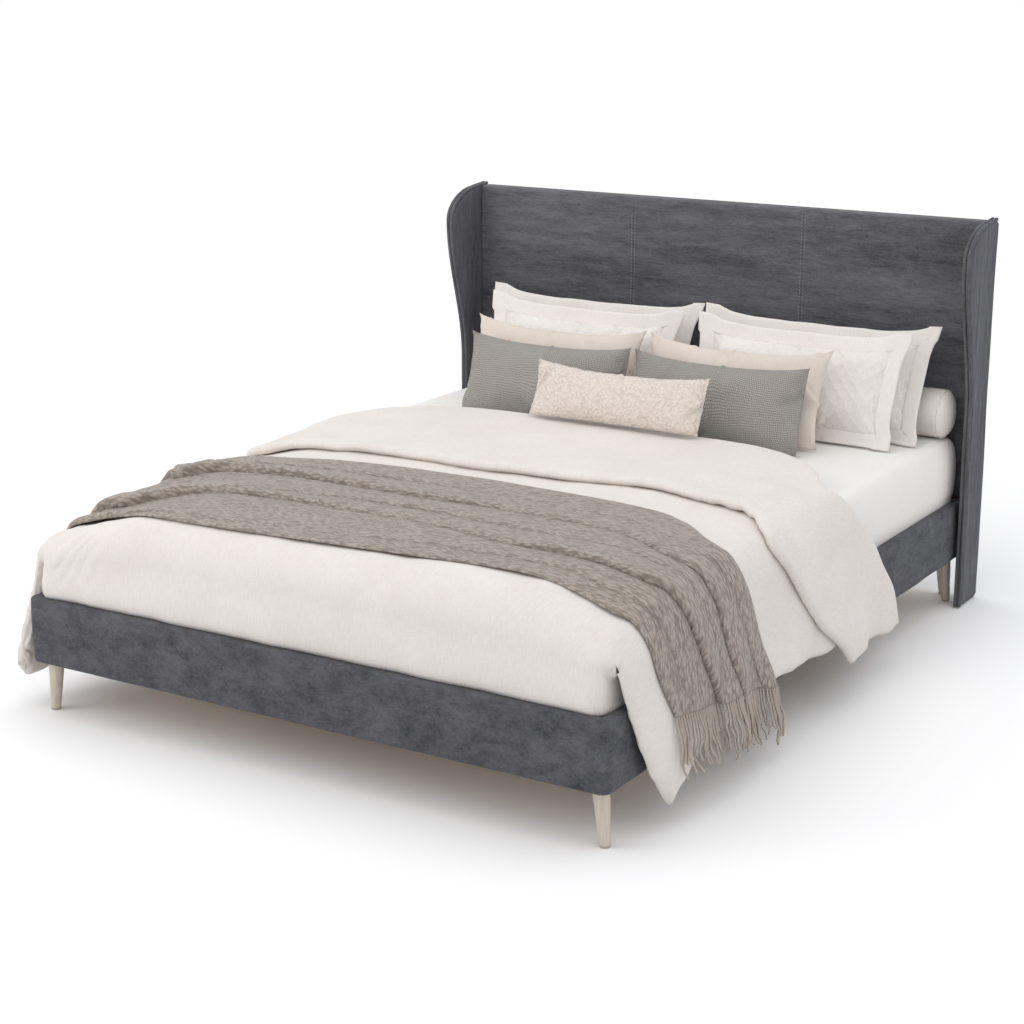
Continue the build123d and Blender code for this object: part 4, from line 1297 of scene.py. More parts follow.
@dataclass
class Mattress:
    """Rounded soft block in a stretched sheet."""

    drape: "Drape"
    corner: float = 45 * MM
    # How far the sides swell past the nominal width, as a share of the corner
    bulge: float = 0.20
    # Share of the thickness, share of the corner drawn in
    profile: Points = (
        (0.0, 0.40), (0.05, 0.12), (0.12, 0.0), (0.27, 0.0), (0.40, -0.15), (0.64, -0.20),
        (0.80, -0.12), (0.91, 0.05), (0.97, 0.28), (1.0, 0.72),
    )
    step: float = 16 * MM
    # Half the room between the cover's sides, and how much narrower it is at the foot
    half_room: float = 0.81
    foot_draw: float = 0.045
    cover_start: float = -0.3
    # How far the sheet lies outside the form, the mattress inside it, and the sheet's pulls
    outside: float = 1.2 * MM
    within: float = 1.0 * MM
    pulls: float = 1.6 * MM
    cloth: float = 0.8 * MM
    # Rings up the sides
    sheet_levels: int = 26
    levels: int = 22

    def outline(self, inset: float, end_inset: float) -> Array:
        """Rounded rectangle in plan.

        Args:
            inset: how far the sides are drawn in.
            end_inset: how far the ends are drawn in.

        Returns:
            Points round the outline, always as many.
        """
        span = Span.of("mattress")
        sheet = Span.of("fitted_sheet")
        half = Vector((span.high.x - self.bulge * self.corner, (span.high.y - span.low.y) / 2))
        x = half.x - inset
        y = half.y - end_inset
        r = min(self.corner, x, y)
        arc = np.linspace(0, math.pi / 2, 9)
        points = []
        for turn, (sx, sy) in enumerate(((1, 1), (-1, 1), (-1, -1), (1, -1))):
            for angle in arc:
                way = angle + turn * math.pi / 2
                points.append((sx * (x - r) + r * math.cos(way), sy * (y - r) + r * math.sin(way)))
            sides = int((2 * half.y if turn % 2 else 2 * half.x) / self.step)
            last = points[-1]
            step = 2 * (x - r) if turn % 2 == 0 else 2 * (y - r)
            way = ((-1, 0), (0, -1), (1, 0), (0, 1))[turn]
            for k in range(1, sides):
                share = k / sides
                points.append((last[0] + way[0] * step * share, last[1] + way[1] * step * share))
        middle = (sheet.low.y + sheet.high.y) / 2
        return np.array(points) + (0, middle)

    def rings(self, grow: float, first: int, count: int) -> Array:
        """Closed rings from one level up and in over the top.

        Args:
            grow: how far the form is grown.
            first: the level that it starts from.
            count: how many levels it gets.

        Returns:
            The rings' points.
        """
        span = Span.of("mattress")
        thick = span.high.z - span.low.z
        rings = []
        for rise, draw in through(self.profile[first:], count):
            inset = self.corner * draw - grow
            end = self.corner * max(draw, 0) - grow
            level = span.low.z + thick * rise + (grow if rise > 0.5 else 0)
            flat = self.outline(inset, end)
            rings.append(np.column_stack([flat, np.full(len(flat), level)]))
        rim = rings[-1]
        centre = rim.mean(0)
        for share in (0.985, 0.96, 0.9, 0.8, 0.6, 0.4, 0.2, 0.05):
            ring = centre + (rim - centre) * share
            ring[:, 2] = rim[0, 2] + grow * 0.1
            rings.append(ring)
        return np.array(rings)

    def soften(self, rings: Array, height: float, seed: int) -> Array:
        """Adds faint pulls down the sides, stronger towards the corners.

        Args:
            rings: the form's rings.
            height: how deep the pulls are.
            seed: a fixed number.

        Returns:
            The rings moved.
        """
        around = np.arange(rings.shape[1]) * self.step
        centre = rings[0].mean(0)
        way = unit((rings - centre) * (1, 1, 0))
        corner = np.abs(rings[0, :, 1] - centre[1]) / np.abs(rings[0, :, 1] - centre[1]).max()
        pull = ripples(strip(around), 0.07, seed) + 0.6 * ripples(strip(around), 0.03, seed + 1)
        strength = 0.35 + 0.65 * ramp(corner, 0.75, 1.0)
        level = np.linspace(0, 1, len(rings))[:, None]
        fade = np.clip(np.sin(math.pi * np.clip(level * 1.35, 0, 1)), 0, 1)
        rings += way * (pull * strength * height)[None, :, None] * fade[..., None]
        return rings

    def pressed(self, rings: Array) -> Array:
        """Presses the form down and in where the cover lies closer at the foot.

        Args:
            rings: the form's rings.

        Returns:
            Their points, moved.
        """
        points = rings.reshape(-1, 3)
        near = ramp(-points[:, 1], 0.80, 0.96) * ramp(points[:, 2], 0.30, 0.38)
        room = self.half_room - self.foot_draw * near
        points[:, 0] = np.clip(points[:, 0], -room, room)
        points[:, 2] = np.where(points[:, 1] < self.cover_start, np.minimum(
            points[:, 2], self.drape.under(points)), points[:, 2])
        return points

    def build(self) -> None:
        """Builds the mattress and its sheet."""
        rings = self.rings(-self.within, 0, self.levels)
        flat = np.stack([rings[..., 0] + rings[..., 1], rings[..., 2]], -1).reshape(-1, 2)
        made = make_object("mattress_body", self.pressed(rings), ring_skin(rings),
                           TICKING.material(), flat)
        settle(made, Body.BEDDING, ["mattress"])
        rings = self.soften(self.rings(self.outside, 2, self.sheet_levels), self.pulls, 51)
        around = np.arange(rings.shape[1]) * self.step
        flat = np.stack(np.broadcast_arrays(around[None, :], rings[..., 2]), -1).copy()
        flat[self.sheet_levels:] = rings[self.sheet_levels:, :, :2]
        made = make_object("sheet", self.pressed(rings), ring_skin(rings, False) + [
            (np.arange(rings.shape[1]) + rings.shape[1] * (len(rings) - 1)).tolist()],
            SHEET_COTTON.material(), flat.reshape(-1, 2))
        solid = made.modifiers.new("cloth", "SOLIDIFY")
        solid.thickness = self.cloth
        solid.offset = -1.0
        made = applied(made)
        settle(made, Body.BEDDING, ["fitted_sheet"])


# Duvet and throw

# How far the turned-back part stands above the top
DUVET_FOLD = 14 * MM


@dataclass
class Drape:
    """How a cover lies: across the bed, over its shoulders and down outside the rails."""

    top: float
    rail: float
    start: float
    flare: float = 50 * MM
    foot_round: float = 100 * MM
    corner_round: float = 26 * MM
    corner_drop: float = 42 * MM
    # Where the mattress's side and the duvet's tucked edge are
    inside: float = 0.800
    tuck: float = 0.296
    # Thickness that is left for the cover over the mattress
    cover_room: float = 34 * MM
    # Hanging side: share of the height, share of the flare outside the rail
    side_shares: Points = (
        (0.0, 1.0), (0.18, 0.97), (0.34, 0.86), (0.57, 0.63), (0.72, 0.45), (0.84, 0.22),
        (0.92, -0.20), (0.965, -0.85),
    )
    # Top: share of the way out to the rail, share of the height
    crown_shares: Points = ((0.82, 0.992), (0.60, 0.999), (0.30, 1.0), (0.0, 1.0))
    # How far the left shoulder sags along the bed: Y and millimetres
    left_sag: Points = (
        (-1.10, 0), (-1.04, 12), (-0.97, 32), (-0.85, 52), (-0.75, 40), (-0.62, 34), (-0.50, 16),
        (-0.40, 11), (-0.31, 22), (-0.22, 32), (-0.14, 30), (-0.05, 18), (0.06, 5), (0.20, 0),
    )

    @classmethod
    def of_frame(cls) -> "Drape":
        """The drape that the frame's duvet and rails give."""
        duvet = Span.of("duvet")
        return cls(top=duvet.high.z - DUVET_FOLD, rail=Span.of("side_rail_cover_right").high.x,
                   start=duvet.low.y)

    def __post_init__(self) -> None:
        """Works out the line across the bed by its length from the middle."""
        side = [(self.rail + self.flare * out, self.top * rise) for rise, out in self.side_shares]
        crown = [(self.rail * out, self.top * rise) for out, rise in self.crown_shares]
        line = through((side + crown)[::-1], 400)
        self.arc = lengths(line)
        self.across = line[:, 0]
        self.rise = line[:, 1] / self.top
        self.face = self.top - self.foot_round - self.tuck
        self.bend = self.foot_round * math.pi / 2

    def foot(self, along: Array) -> tuple[Array, Array]:
        """Place along the bed of a length of cloth from its tucked foot edge.

        Args:
            along: lengths from the tucked edge.

        Returns:
            Y, and the drop of the top.
        """
        turn = np.clip((along - self.face) / self.bend, 0, 1) * math.pi / 2
        low = np.clip(self.face - along, 0, None)
        past = np.clip(along - self.face - self.bend, 0, None)
        r = self.foot_round
        y = self.start + r * (1 - np.cos(turn)) + past
        belly = 9 * MM * np.sin(math.pi * np.clip(low / self.face, 0, 1) ** 1.4)
        tucked = 2 * MM * ramp(low, self.face - 26 * MM, self.face)
        return y - belly + tucked, r * (1 - np.sin(turn)) + low

    def sag(self, x: Array, y: Array) -> Array:
        """How far the foot corners and the left shoulder lie below the flat top."""
        left = np.interp(y, *np.array(self.left_sag).T) * MM * ramp(-x, 0.40, 0.80)
        return left + self.corner_drop * ramp(np.abs(x), 0.48, 0.82) * ramp(-y, 0.74, 1.06)

    def under(self, points: Array) -> Array:
        """Height below which what lies under the cover has to stay.

        Args:
            points: points on the mattress.

        Returns:
            One height for each point.
        """
        near = np.clip(1 - (points[:, 1] - self.start) / self.foot_round, 0, 1)
        drop = self.foot_round * (1 - np.sqrt(1 - near ** 2))
        return self.top - drop - self.sag(points[:, 0], points[:, 1]) - self.cover_room

    def length_at(self, y: float) -> float:
        """Length of cloth from the tucked edge to a place along the bed.

        Args:
            y: the place on the top.

        Returns:
            The length.
        """
        r = self.foot_round
        distance = y - self.start
        if distance >= r:
            return self.face + self.bend + distance - r
        return self.face + r * math.acos(max(-1.0, min(1.0, 1 - distance / r)))

    def flat_at(self, y: float, z: float, side: Side) -> tuple[float, float]:
        """Place on the flat cloth of a point on a hanging side.

        Args:
            y: its place along the bed.
            z: its height.
            side: the side that it hangs on.

        Returns:
            The place across and along the cloth.
        """
        along = self.length_at(y)
        drop = self.foot(np.array([along]))[1] + self.sag(np.array([side.value]), np.array([y]))
        across = float(np.interp(-z / (self.top - drop[0]), -self.rise, self.arc))
        return side.value * across, along

    def place(self, flat: Array) -> Array:
        """Lays flat cloth on the bed.

        Args:
            flat: places across and along the cloth.

        Returns:
            Points on the bed.
        """
        side = np.sign(flat[:, 0])
        length = np.abs(flat[:, 0])
        y, drop = self.foot(flat[:, 1])
        out = np.interp(length, self.arc, self.across)
        rise = np.interp(length, self.arc, self.rise)
        z = (self.top - drop - self.sag(side * out, y)) * rise
        near = np.clip(1 - (y - self.start) / self.corner_round, 0, 1)
        draw = self.corner_round * (1 - np.sqrt(1 - near ** 2))
        return np.stack([side * (out - draw * ramp(length, 0.55, 0.8)), y, z], -1)

    def round_corner(self, flat: Array, slit: float, half: float) -> Array:
        """Lays flat cloth over the foot face, its ends turned back along the mattress.

        Args:
            flat: places across and along the cloth.
            slit: length of the foot face up to where the hanging sides start.
            half: half the width of the part that has no slit.

        Returns:
            Points on the bed.
        """
        length = np.abs(flat[:, 0])
        y, drop = self.foot(flat[:, 1])
        brim = self.place(np.column_stack([np.clip(flat[:, 0], -half, half),
                                           np.full(len(flat), slit)]))[:, 2]
        whole = self.top - self.foot(np.array([slit]))[1][0]
        rise = (self.top - drop - self.tuck) * (brim - self.tuck) / (whole - self.tuck)
        r = self.corner_round
        turn = np.clip((length - self.inside + r) / r, 0, math.pi / 2)
        past = np.clip(length - self.inside + r - r * math.pi / 2, 0, None)
        out = np.minimum(length, self.inside - r) + r * np.sin(turn)
        back = y + r * (1 - np.cos(turn)) + past
        return np.stack([np.sign(flat[:, 0]) * out, back, self.tuck + rise], -1)


@dataclass
class Duvet:
    """Feather duvet: tucked in at the foot, hanging at the sides, its head end turned back."""

    drape: Drape
    thick: float = 30 * MM
    near_thick: float = 27 * MM
    far_thick: float = 12 * MM
    step: float = 12 * MM
    half: float = 0.855
    slit: float = -1.046
    # Columns of a hanging side, and of the strip that turns back round a foot corner
    hung_columns: int = 39
    returned: int = 9
    returned_drop: float = 24 * MM
    turned_grid: tuple[int, int] = (56, 236)
    # Edge of a hanging side from the corner slit to the hem, then along the hem: Y and Z
    right_edge: Points = (
        (-1.064, 0.395), (-1.055, 0.348), (-1.035, 0.285), (-0.998, 0.209), (-0.973, 0.158),
        (-0.938, 0.116), (-0.905, 0.078), (-0.872, 0.046),
    )
    right_hem: Points = (
        (-0.872, 0.046), (-0.843, 0.078), (-0.793, 0.104), (-0.740, 0.126), (-0.640, 0.142),
        (-0.524, 0.153), (-0.349, 0.174), (-0.040, 0.163), (0.12, 0.165),
    )
    left_edge: Points = ((-1.050, 0.390), (-1.055, 0.270), (-1.062, 0.170), (-1.066, 0.112))
    left_hem: Points = (
        (-1.066, 0.112), (-1.040, 0.084), (-0.975, 0.078), (-0.808, 0.108), (-0.568, 0.157),
        (-0.349, 0.173), (-0.033, 0.162), (0.12, 0.165),
    )
    end: float = 0.16
    # Turned-back end, near edge on top from left to right: X and Y
    near_top: Points = (
        (-0.765, -0.234), (-0.690, -0.198), (-0.600, -0.196), (-0.497, -0.208), (-0.320, -0.203),
        (0.043, -0.198), (0.400, -0.150), (0.566, -0.180), (0.660, -0.196), (0.735, -0.225),
    )
    near_right: Points = (
        (-0.318, 0.500), (-0.262, 0.420), (-0.171, 0.311), (-0.055, 0.200), (0.068, 0.100),
    )
    near_left: Points = (
        (-0.200, 0.455), (-0.142, 0.390), (-0.075, 0.295), (0.0, 0.195), (0.068, 0.100),
    )
    far_top: Points = (
        (-0.770, 0.185), (-0.680, 0.288), (-0.550, 0.378), (-0.384, 0.415), (0.0, 0.428),
        (0.384, 0.415), (0.550, 0.375), (0.680, 0.273), (0.770, 0.150),
    )
    far_side: Points = ((0.175, 0.470), (0.290, 0.350), (0.395, 0.180), (0.425, 0.107))
    fold_hem: Points = (
        (0.068, 0.100), (0.135, 0.108), (0.218, 0.118), (0.330, 0.110), (0.425, 0.107),
    )

    def side_line(self, points: Points, side: Side) -> list[tuple[float, float]]:
        """Points of a hanging side as places on the flat cloth."""
        return [self.drape.flat_at(y, z, side) for y, z in points]

    def top_line(self, points: Points) -> list[tuple[float, float]]:
        """Points on the bed's top as places on the flat cloth."""
        return [(math.copysign(np.interp(abs(x), self.drape.across, self.drape.arc), x),
                 self.drape.length_at(y)) for x, y in points]

    def band(
        self, edges: Sequence[Sequence[Points]], hems: Sequence[Points], rows: int, columns: int
    ) -> Shell:
        """Lays a band of cloth across the bed and down both sides.

        Args:
            edges: near and far edge, each as its parts on top, at the left and at the right.
            hems: left and right hem.
            rows: how many rows of points the band gets.
            columns: how many columns.

        Returns:
            Points, faces and flat places.
        """
        lines = [through(self.side_line(left[::-1], Side.LEFT) + self.top_line(top)
                         + self.side_line(right, Side.RIGHT), columns) for top, left, right in edges]
        ends = [through(self.side_line(hem, side), rows) for hem, side in zip(hems, Side)]
        grid = patch(*lines, *ends)
        flat = grid.reshape(-1, 2)
        return self.hang(self.drape.place(flat), flat), grid_faces(numbered(grid)), flat

    def hang(self, points: Array, flat: Array) -> Array:
        """Waves the hanging sides in and out, more towards the hem.

        Args:
            points: the cloth's points, which are moved.
            flat: their places on the flat cloth.

        Returns:
            The points.
        """
        side = np.sign(flat[:, 0])
        length = np.abs(flat[:, 0])
        fall = ramp(length, 0.86, 1.25)
        slant = flat[:, 1] + 0.25 * (length - 0.86)
        lane = np.stack([slant, side * 3.0], -1)
        wave = ripples(lane, 0.26, 61) + 0.45 * ripples(lane, 0.11, 62)
        front_corner = np.exp(-((points[:, 1] - self.drape.start) / 0.11) ** 2)
        points[:, 0] += side * fall * 13 * MM * wave
        points[:, 0] += side * fall * np.where(side < 0, 50, 4) * MM * front_corner
        points[:, 0] += fall * 5 * MM * front_corner * ripples(flat, 0.05, 64)
        points[:, 1] -= fall * np.where(side < 0, 12, 0) * MM * front_corner
        return points

    def wrinkles(self, flat: Array, seed: int) -> Array:
        """Heights of the soft lumps and creases of a filled cover.

        Args:
            flat: places on the flat cloth.
            seed: a fixed number.

        Returns:
            One height for each place.
        """
        lumps = 2.4 * ripples(flat, 0.34, seed) + 1.2 * ripples(flat, 0.15, seed + 1)
        line = ripples(flat, 0.2, seed + 2, (1.0, 1.8))
        creases = np.exp(-(line / 0.10) ** 2) * ramp(ripples(flat, 0.5, seed + 3), 0.1, 0.9)
        small = 0.4 * ripples(flat, 0.055, seed + 4, (1.6, 1.0))
        return (lumps + 1.6 * creases + small) * MM

    def corner_creases(self, flat: Array) -> Array:
        """Soft creases that run down the foot face beside its corners, leaning outwards.

        Args:
            flat: places on the flat cloth.

        Returns:
            One height for each place.
        """
        inward = self.drape.inside - np.abs(flat[:, 0])
        down = self.drape.face + 0.6 * self.drape.bend - flat[:, 1]
        wave = np.cos(TAU * (inward + 0.6 * down) / (48 * MM) + 1.5 * ripples(flat, 0.15, 63))
        window = ramp(inward, 20 * MM, 70 * MM) * ramp(-inward, -250 * MM, -150 * MM)
        window *= ramp(down, -50 * MM, 20 * MM) * ramp(-down, -210 * MM, -110 * MM)
        return wave * window * np.where(flat[:, 0] < 0, 3.2, 1.4) * MM

    def layout(self, slit: float) -> tuple[Array, Array, Array, int]:
        """Cuts the lower layer: its centre, two hanging sides, and the foot face's ends.

        Args:
            slit: length of cloth from the tucked edge to where the hanging sides start.

        Returns:
            Flat places and faces, which points lie on the foot face and its ends, and how many
            come before those ends.
        """
        end = self.drape.length_at(self.end)
        front_rows = int(slit / self.step)
        rows = int((end - slit) / self.step)
        alongs = np.concatenate([np.linspace(0, slit, front_rows, endpoint=False),
                                 np.linspace(slit, end, rows + 1)])
        acrosses = np.linspace(-self.half, self.half, int(2 * self.half / self.step) + 1)
        centre = np.stack(np.meshgrid(acrosses, alongs), -1)
        index = numbered(centre)
        # Grids that join on to a column of the centre, each with that column's point numbers
        joined = []
        for side, edge, hem in ((Side.RIGHT, self.right_edge, self.right_hem),
                                (Side.LEFT, self.left_edge, self.left_hem)):
            last = -1 if side is Side.RIGHT else 0
            inner = centre[front_rows:, last]
            front = through([tuple(inner[0])] + self.side_line(edge, side), 400)
            levels = np.linspace(front[0, 0], front[-1, 0], self.hung_columns)
            near = np.column_stack([levels, np.interp(
                side.value * levels, side.value * front[:, 0], front[:, 1])])
            hem_line = through(self.side_line(hem, side), rows + 1)
            far = np.linspace(inner[-1], hem_line[-1], self.hung_columns)
            joined.append((index[front_rows:, last], patch(near, far, inner, hem_line)[:, 1:], side))
        hung = index.size + 2 * (rows + 1) * (self.hung_columns - 1)
        for side in (Side.RIGHT, Side.LEFT):
            past = side.value * (self.half + self.step * np.arange(1, self.returned + 1))
            grid = np.stack(np.meshgrid(past, alongs[:front_rows + 1]), -1)
            joined.append((index[:front_rows + 1, -1 if side is Side.RIGHT else 0], grid, side))
        flat = centre.reshape(-1, 2)
        faces = grid_faces(index)
        for column, grid, side in joined:
            numbers = np.hstack([column[:, None], numbered(grid) + len(flat)])
            flat = np.vstack([flat, grid.reshape(-1, 2)])
            more = grid_faces(numbers if side is Side.RIGHT else numbers[:, ::-1])
            faces = np.vstack([faces, more])
        below = np.arange(len(flat)) >= hung
        below[:index.size] = flat[:index.size, 1] < slit
        return flat, faces, below, hung

    def body(self) -> Object:
        """The lower layer: top, foot face turned back at its ends, and two hanging sides.

        Returns:
            The finished layer.
        """
        drape = self.drape
        slit = drape.length_at(self.slit)
        flat, faces, below, hung = self.layout(slit)
        points = drape.place(flat)
        turned = drape.round_corner(flat, slit, self.half)
        share = ramp(slit - flat[:, 1], 0.0, 0.10)[:, None]
        ends = np.column_stack([np.clip(flat[:, 0], -self.half, self.half), flat[:, 1]])
        shift = (drape.place(ends) - drape.round_corner(ends, slit, self.half)) * (1 - share)
        shift[:, 2] = 0
        length = np.abs(flat[:, 0])
        fade = 1 - ramp(length[:, None], self.half, self.half + 5 * self.step)
        points[below] = (turned + shift * fade)[below]
        hidden = ramp(length, self.half, self.half + 4 * self.step)
        hidden *= ramp(flat[:, 1], slit - 0.09, slit) * below
        points[:, 2] -= self.returned_drop * hidden
        points[:hung] = self.hang(points[:hung], flat[:hung])
        square = normals_of(points, faces)
        lift = self.wrinkles(flat, 65) * (1 - 0.5 * ramp(length, 0.9, 1.2))
        lift += self.corner_creases(flat)
        points = points + square * (lift - self.thick / 2)[:, None]
        shell = padded_shell(points, faces, flat, self.thick, 34 * MM, 0.1)
        made = make_object("duvet_body", *shell[:2], DUVET_LINEN.material(), shell[2])
        settle(made, Body.BEDDING, ["duvet"])
        return made

    def turned_back(self) -> Object:
        """The head end, turned back over the top and down both sides.

        Returns:
            The finished layer.
        """
        rows, columns = self.turned_grid
        points, faces, flat = self.band(
            ((self.near_top, self.near_left, self.near_right),
             (self.far_top, self.far_side, self.far_side)),
            (self.fold_hem, self.fold_hem), rows, columns)
        share = np.repeat(np.linspace(0, 1, rows), columns)
        thick = self.near_thick + (self.far_thick - self.near_thick) * ramp(share, 0.0, 0.7)
        square = normals_of(points, faces)
        gathers = np.abs(ripples(strip(flat[:, 0]), 0.075, 71))
        shoulder = np.exp(-((flat[:, 0] - 0.70) / 0.13) ** 2)
        puckers = 8 * MM * gathers * (shoulder + 0.15) * np.exp(-share / 0.12)
        lift = self.wrinkles(flat, 75) * (0.4 + 0.6 * (1 - share)) + puckers
        points = points + square * (lift + thick / 2)[:, None]
        shell = padded_shell(points, faces, flat, thick, 24 * MM, 0.16)
        made = make_object("duvet_turned_back", *shell[:2], DUVET_LINEN.material(), shell[2])
        settle(made, Body.BEDDING, ["duvet"])
        return made

    def build(self) -> None:
        """Builds both layers."""
        self.body()
        self.turned_back()


@dataclass
class Throw:
    """Chenille throw laid across the foot in soft rolls, with a fringe at both ends."""

    drape: Drape
    thick: float = 8 * MM
    grid: tuple[int, int] = (130, 340)
    # Edges from left to right on top and downwards at the sides, then the hems
    near_top: Points = (
        (-0.790, -0.940), (-0.700, -0.938), (-0.574, -0.976), (-0.462, -0.996), (-0.340, -0.995),
        (-0.205, -0.990), (-0.048, -0.980), (0.250, -0.952), (0.472, -0.930), (0.620, -0.935),
        (0.745, -0.958),
    )
    near_right: Points = ((-0.958, 0.490), (-0.921, 0.357), (-0.862, 0.252))
    near_left: Points = ((-0.940, 0.430), (-0.915, 0.350), (-0.885, 0.270))
    far_top: Points = (
        (-0.776, -0.440), (-0.656, -0.372), (-0.516, -0.345), (-0.240, -0.300), (0.096, -0.292),
        (0.488, -0.320), (0.640, -0.380), (0.745, -0.462),
    )
    far_right: Points = ((-0.484, 0.490), (-0.437, 0.357), (-0.352, 0.169))
    far_left: Points = ((-0.360, 0.490), (-0.365, 0.357), (-0.370, 0.227))
    right_hem: Points = (
        (-0.862, 0.252), (-0.740, 0.236), (-0.611, 0.216), (-0.480, 0.196), (-0.352, 0.169),
    )
    left_hem: Points = (
        (-0.885, 0.270), (-0.770, 0.258), (-0.640, 0.249), (-0.500, 0.240), (-0.370, 0.227),
    )

    def folds(self) -> tuple["Fold", ...]:
        """The throw's rolls, each on the head side of its own valley."""
        return (
            Fold(((-1, 0.12), (-0.72, 0.235), (-0.60, 0.31), (-0.50, 0.375), (-0.36, 0.385),
                  (-0.2, 0.385), (0.05, 0.35), (0.3, 0.28), (0.5, 0.28), (0.7, 0.32),
                  (0.85, 0.37), (1, 0.42)),
                 ((-1, 14), (-0.72, 25), (-0.5, 25), (-0.2, 15), (0.1, 8), (0.3, 12), (0.6, 20),
                  (1, 19))),
            Fold(((-1, 0.55), (-0.72, 0.69), (-0.64, 0.735), (-0.5, 0.725), (-0.36, 0.69),
                  (0, 0.64), (0.45, 0.65), (0.65, 0.63), (1, 0.63)),
                 ((-1, 14), (-0.72, 22), (-0.5, 24), (-0.2, 18), (0.1, 13), (0.4, 8), (0.7, 13),
                  (1, 13))),
            Fold(((-1, 0.01), (-0.6, 0.015), (-0.3, 0.06), (0.2, 0.11), (0.6, 0.12), (1, 0.15)),
                 ((-1, 8), (-0.72, 15), (-0.55, 12), (-0.3, 5), (0.2, 7), (0.5, 7), (0.8, 7),
                  (1, 4))),
            Fold(((-1, 0.2), (-0.2, 0.48), (0.3, 0.45), (0.6, 0.50), (1, 0.53)),
                 ((-1, 0), (-0.4, 3), (0, 9), (0.4, 5), (0.65, 5), (1, 4))),
            Fold(((-1, 0.7), (-0.2, 0.80), (0.4, 0.79), (0.7, 0.81), (1, 0.88)),
                 ((-1, 4), (-0.5, 8), (0, 6), (0.4, 3), (0.7, 4), (1, 6))),
            Fold(((-1, 0.2), (0.3, 0.20), (0.7, 0.23), (1, 0.34)),
                 ((-1, 0), (0.35, 0), (0.6, 3), (0.85, 4), (1, 3))),
        )

    def build(self) -> None:
        """Builds the throw and its fringes."""
        rows, columns = self.grid
        points, faces, flat = Duvet(self.drape).band(
            ((self.near_top, self.near_left, self.near_right),
             (self.far_top, self.far_left, self.far_right)),
            (self.left_hem, self.right_hem), rows, columns)
        share = np.repeat(np.linspace(0, 1, rows), columns)
        across = np.tile(np.linspace(-1, 1, columns), rows)
        square = normals_of(points, faces)
        wander = 0.014 * ripples(flat, 0.5, 81, (1.0, 3.0))
        height = sum(fold.height(share + wander, across) for fold in self.folds())
        height += 1.5 * MM * ripples(flat, 0.09, 91, (3.0, 1.0)) + 0.6 * MM * ripples(flat, 0.03, 92)
        edge = ramp(np.minimum(share, 1 - share), 0.0, 0.035)
        rise = np.clip(height, 0.5 * MM, None) * (0.25 + 0.75 * edge)
        points = points + square * (rise + self.thick * 0.6 + 1.5 * MM)[:, None]
        points[:, 1] -= 0.75 * rise
        shell = padded_shell(points, faces, flat, self.thick, 9 * MM, 0.3)
        made = make_object("throw", *shell[:2], THROW_KNIT.material(), shell[2])
        settle(made, Body.BEDDING, ["throw_blanket"])
        grid = points.reshape(rows, columns, 3)
        for side, hem in zip(Side, (grid[:, 0], grid[:, -1])):
            fringe = Fringe(side).build(f"throw_fringe_{side.word}", [hem], FRINGE_YARN)
            settle(fringe, Body.BEDDING, [])


@dataclass(frozen=True)
class Fold:
    """Soft roll of the throw: where its valley runs, and how high it stands along the way."""

    # Place along the throw from -1 to 1, with the valley's share of the width
    valley: Points
    # Place along the throw from -1 to 1, with the height in millimetres
    tall: Points
    steep_share: float = 0.016
    long_share: float = 0.15
    near_share: float = 0.05

    def height(self, share: Array, across: Array) -> Array:
        """Height of the roll at points of the throw.

        Args:
            share: share of the throw's width from its foot edge.
            across: place along the throw from -1 to 1.

        Returns:
            The height in metres, a little below nought before the valley.
        """
        line = through(self.valley, 120)
        tall = through(self.tall, 120)
        offset = share - np.interp(across, line[:, 0], line[:, 1])
        past = np.clip(offset, 0, None)
        roll = (1 - np.exp(-past / self.steep_share)) * np.exp(-(past / self.long_share) ** 1.5)
        dip = -0.16 * np.exp(-(np.clip(-offset, 0, None) / self.near_share) ** 2) * (offset < 0)
        return np.interp(across, tall[:, 0], tall[:, 1]) * (roll + dip) * MM


# Pillows and cushions

@dataclass(frozen=True)
class CushionKind:
    """Size, fill and cloth that the cushions of one kind share."""

    width: float
    height: float
    front: float
    back: float
    lean: float
    finish: Finish
    slot: str
    # How far the top edge and the sides are drawn in, and how sharp the ears at the corners are
    dip: float
    waist: float
    ears: float
    flange: float = 0.0
    border: Finish | None = None


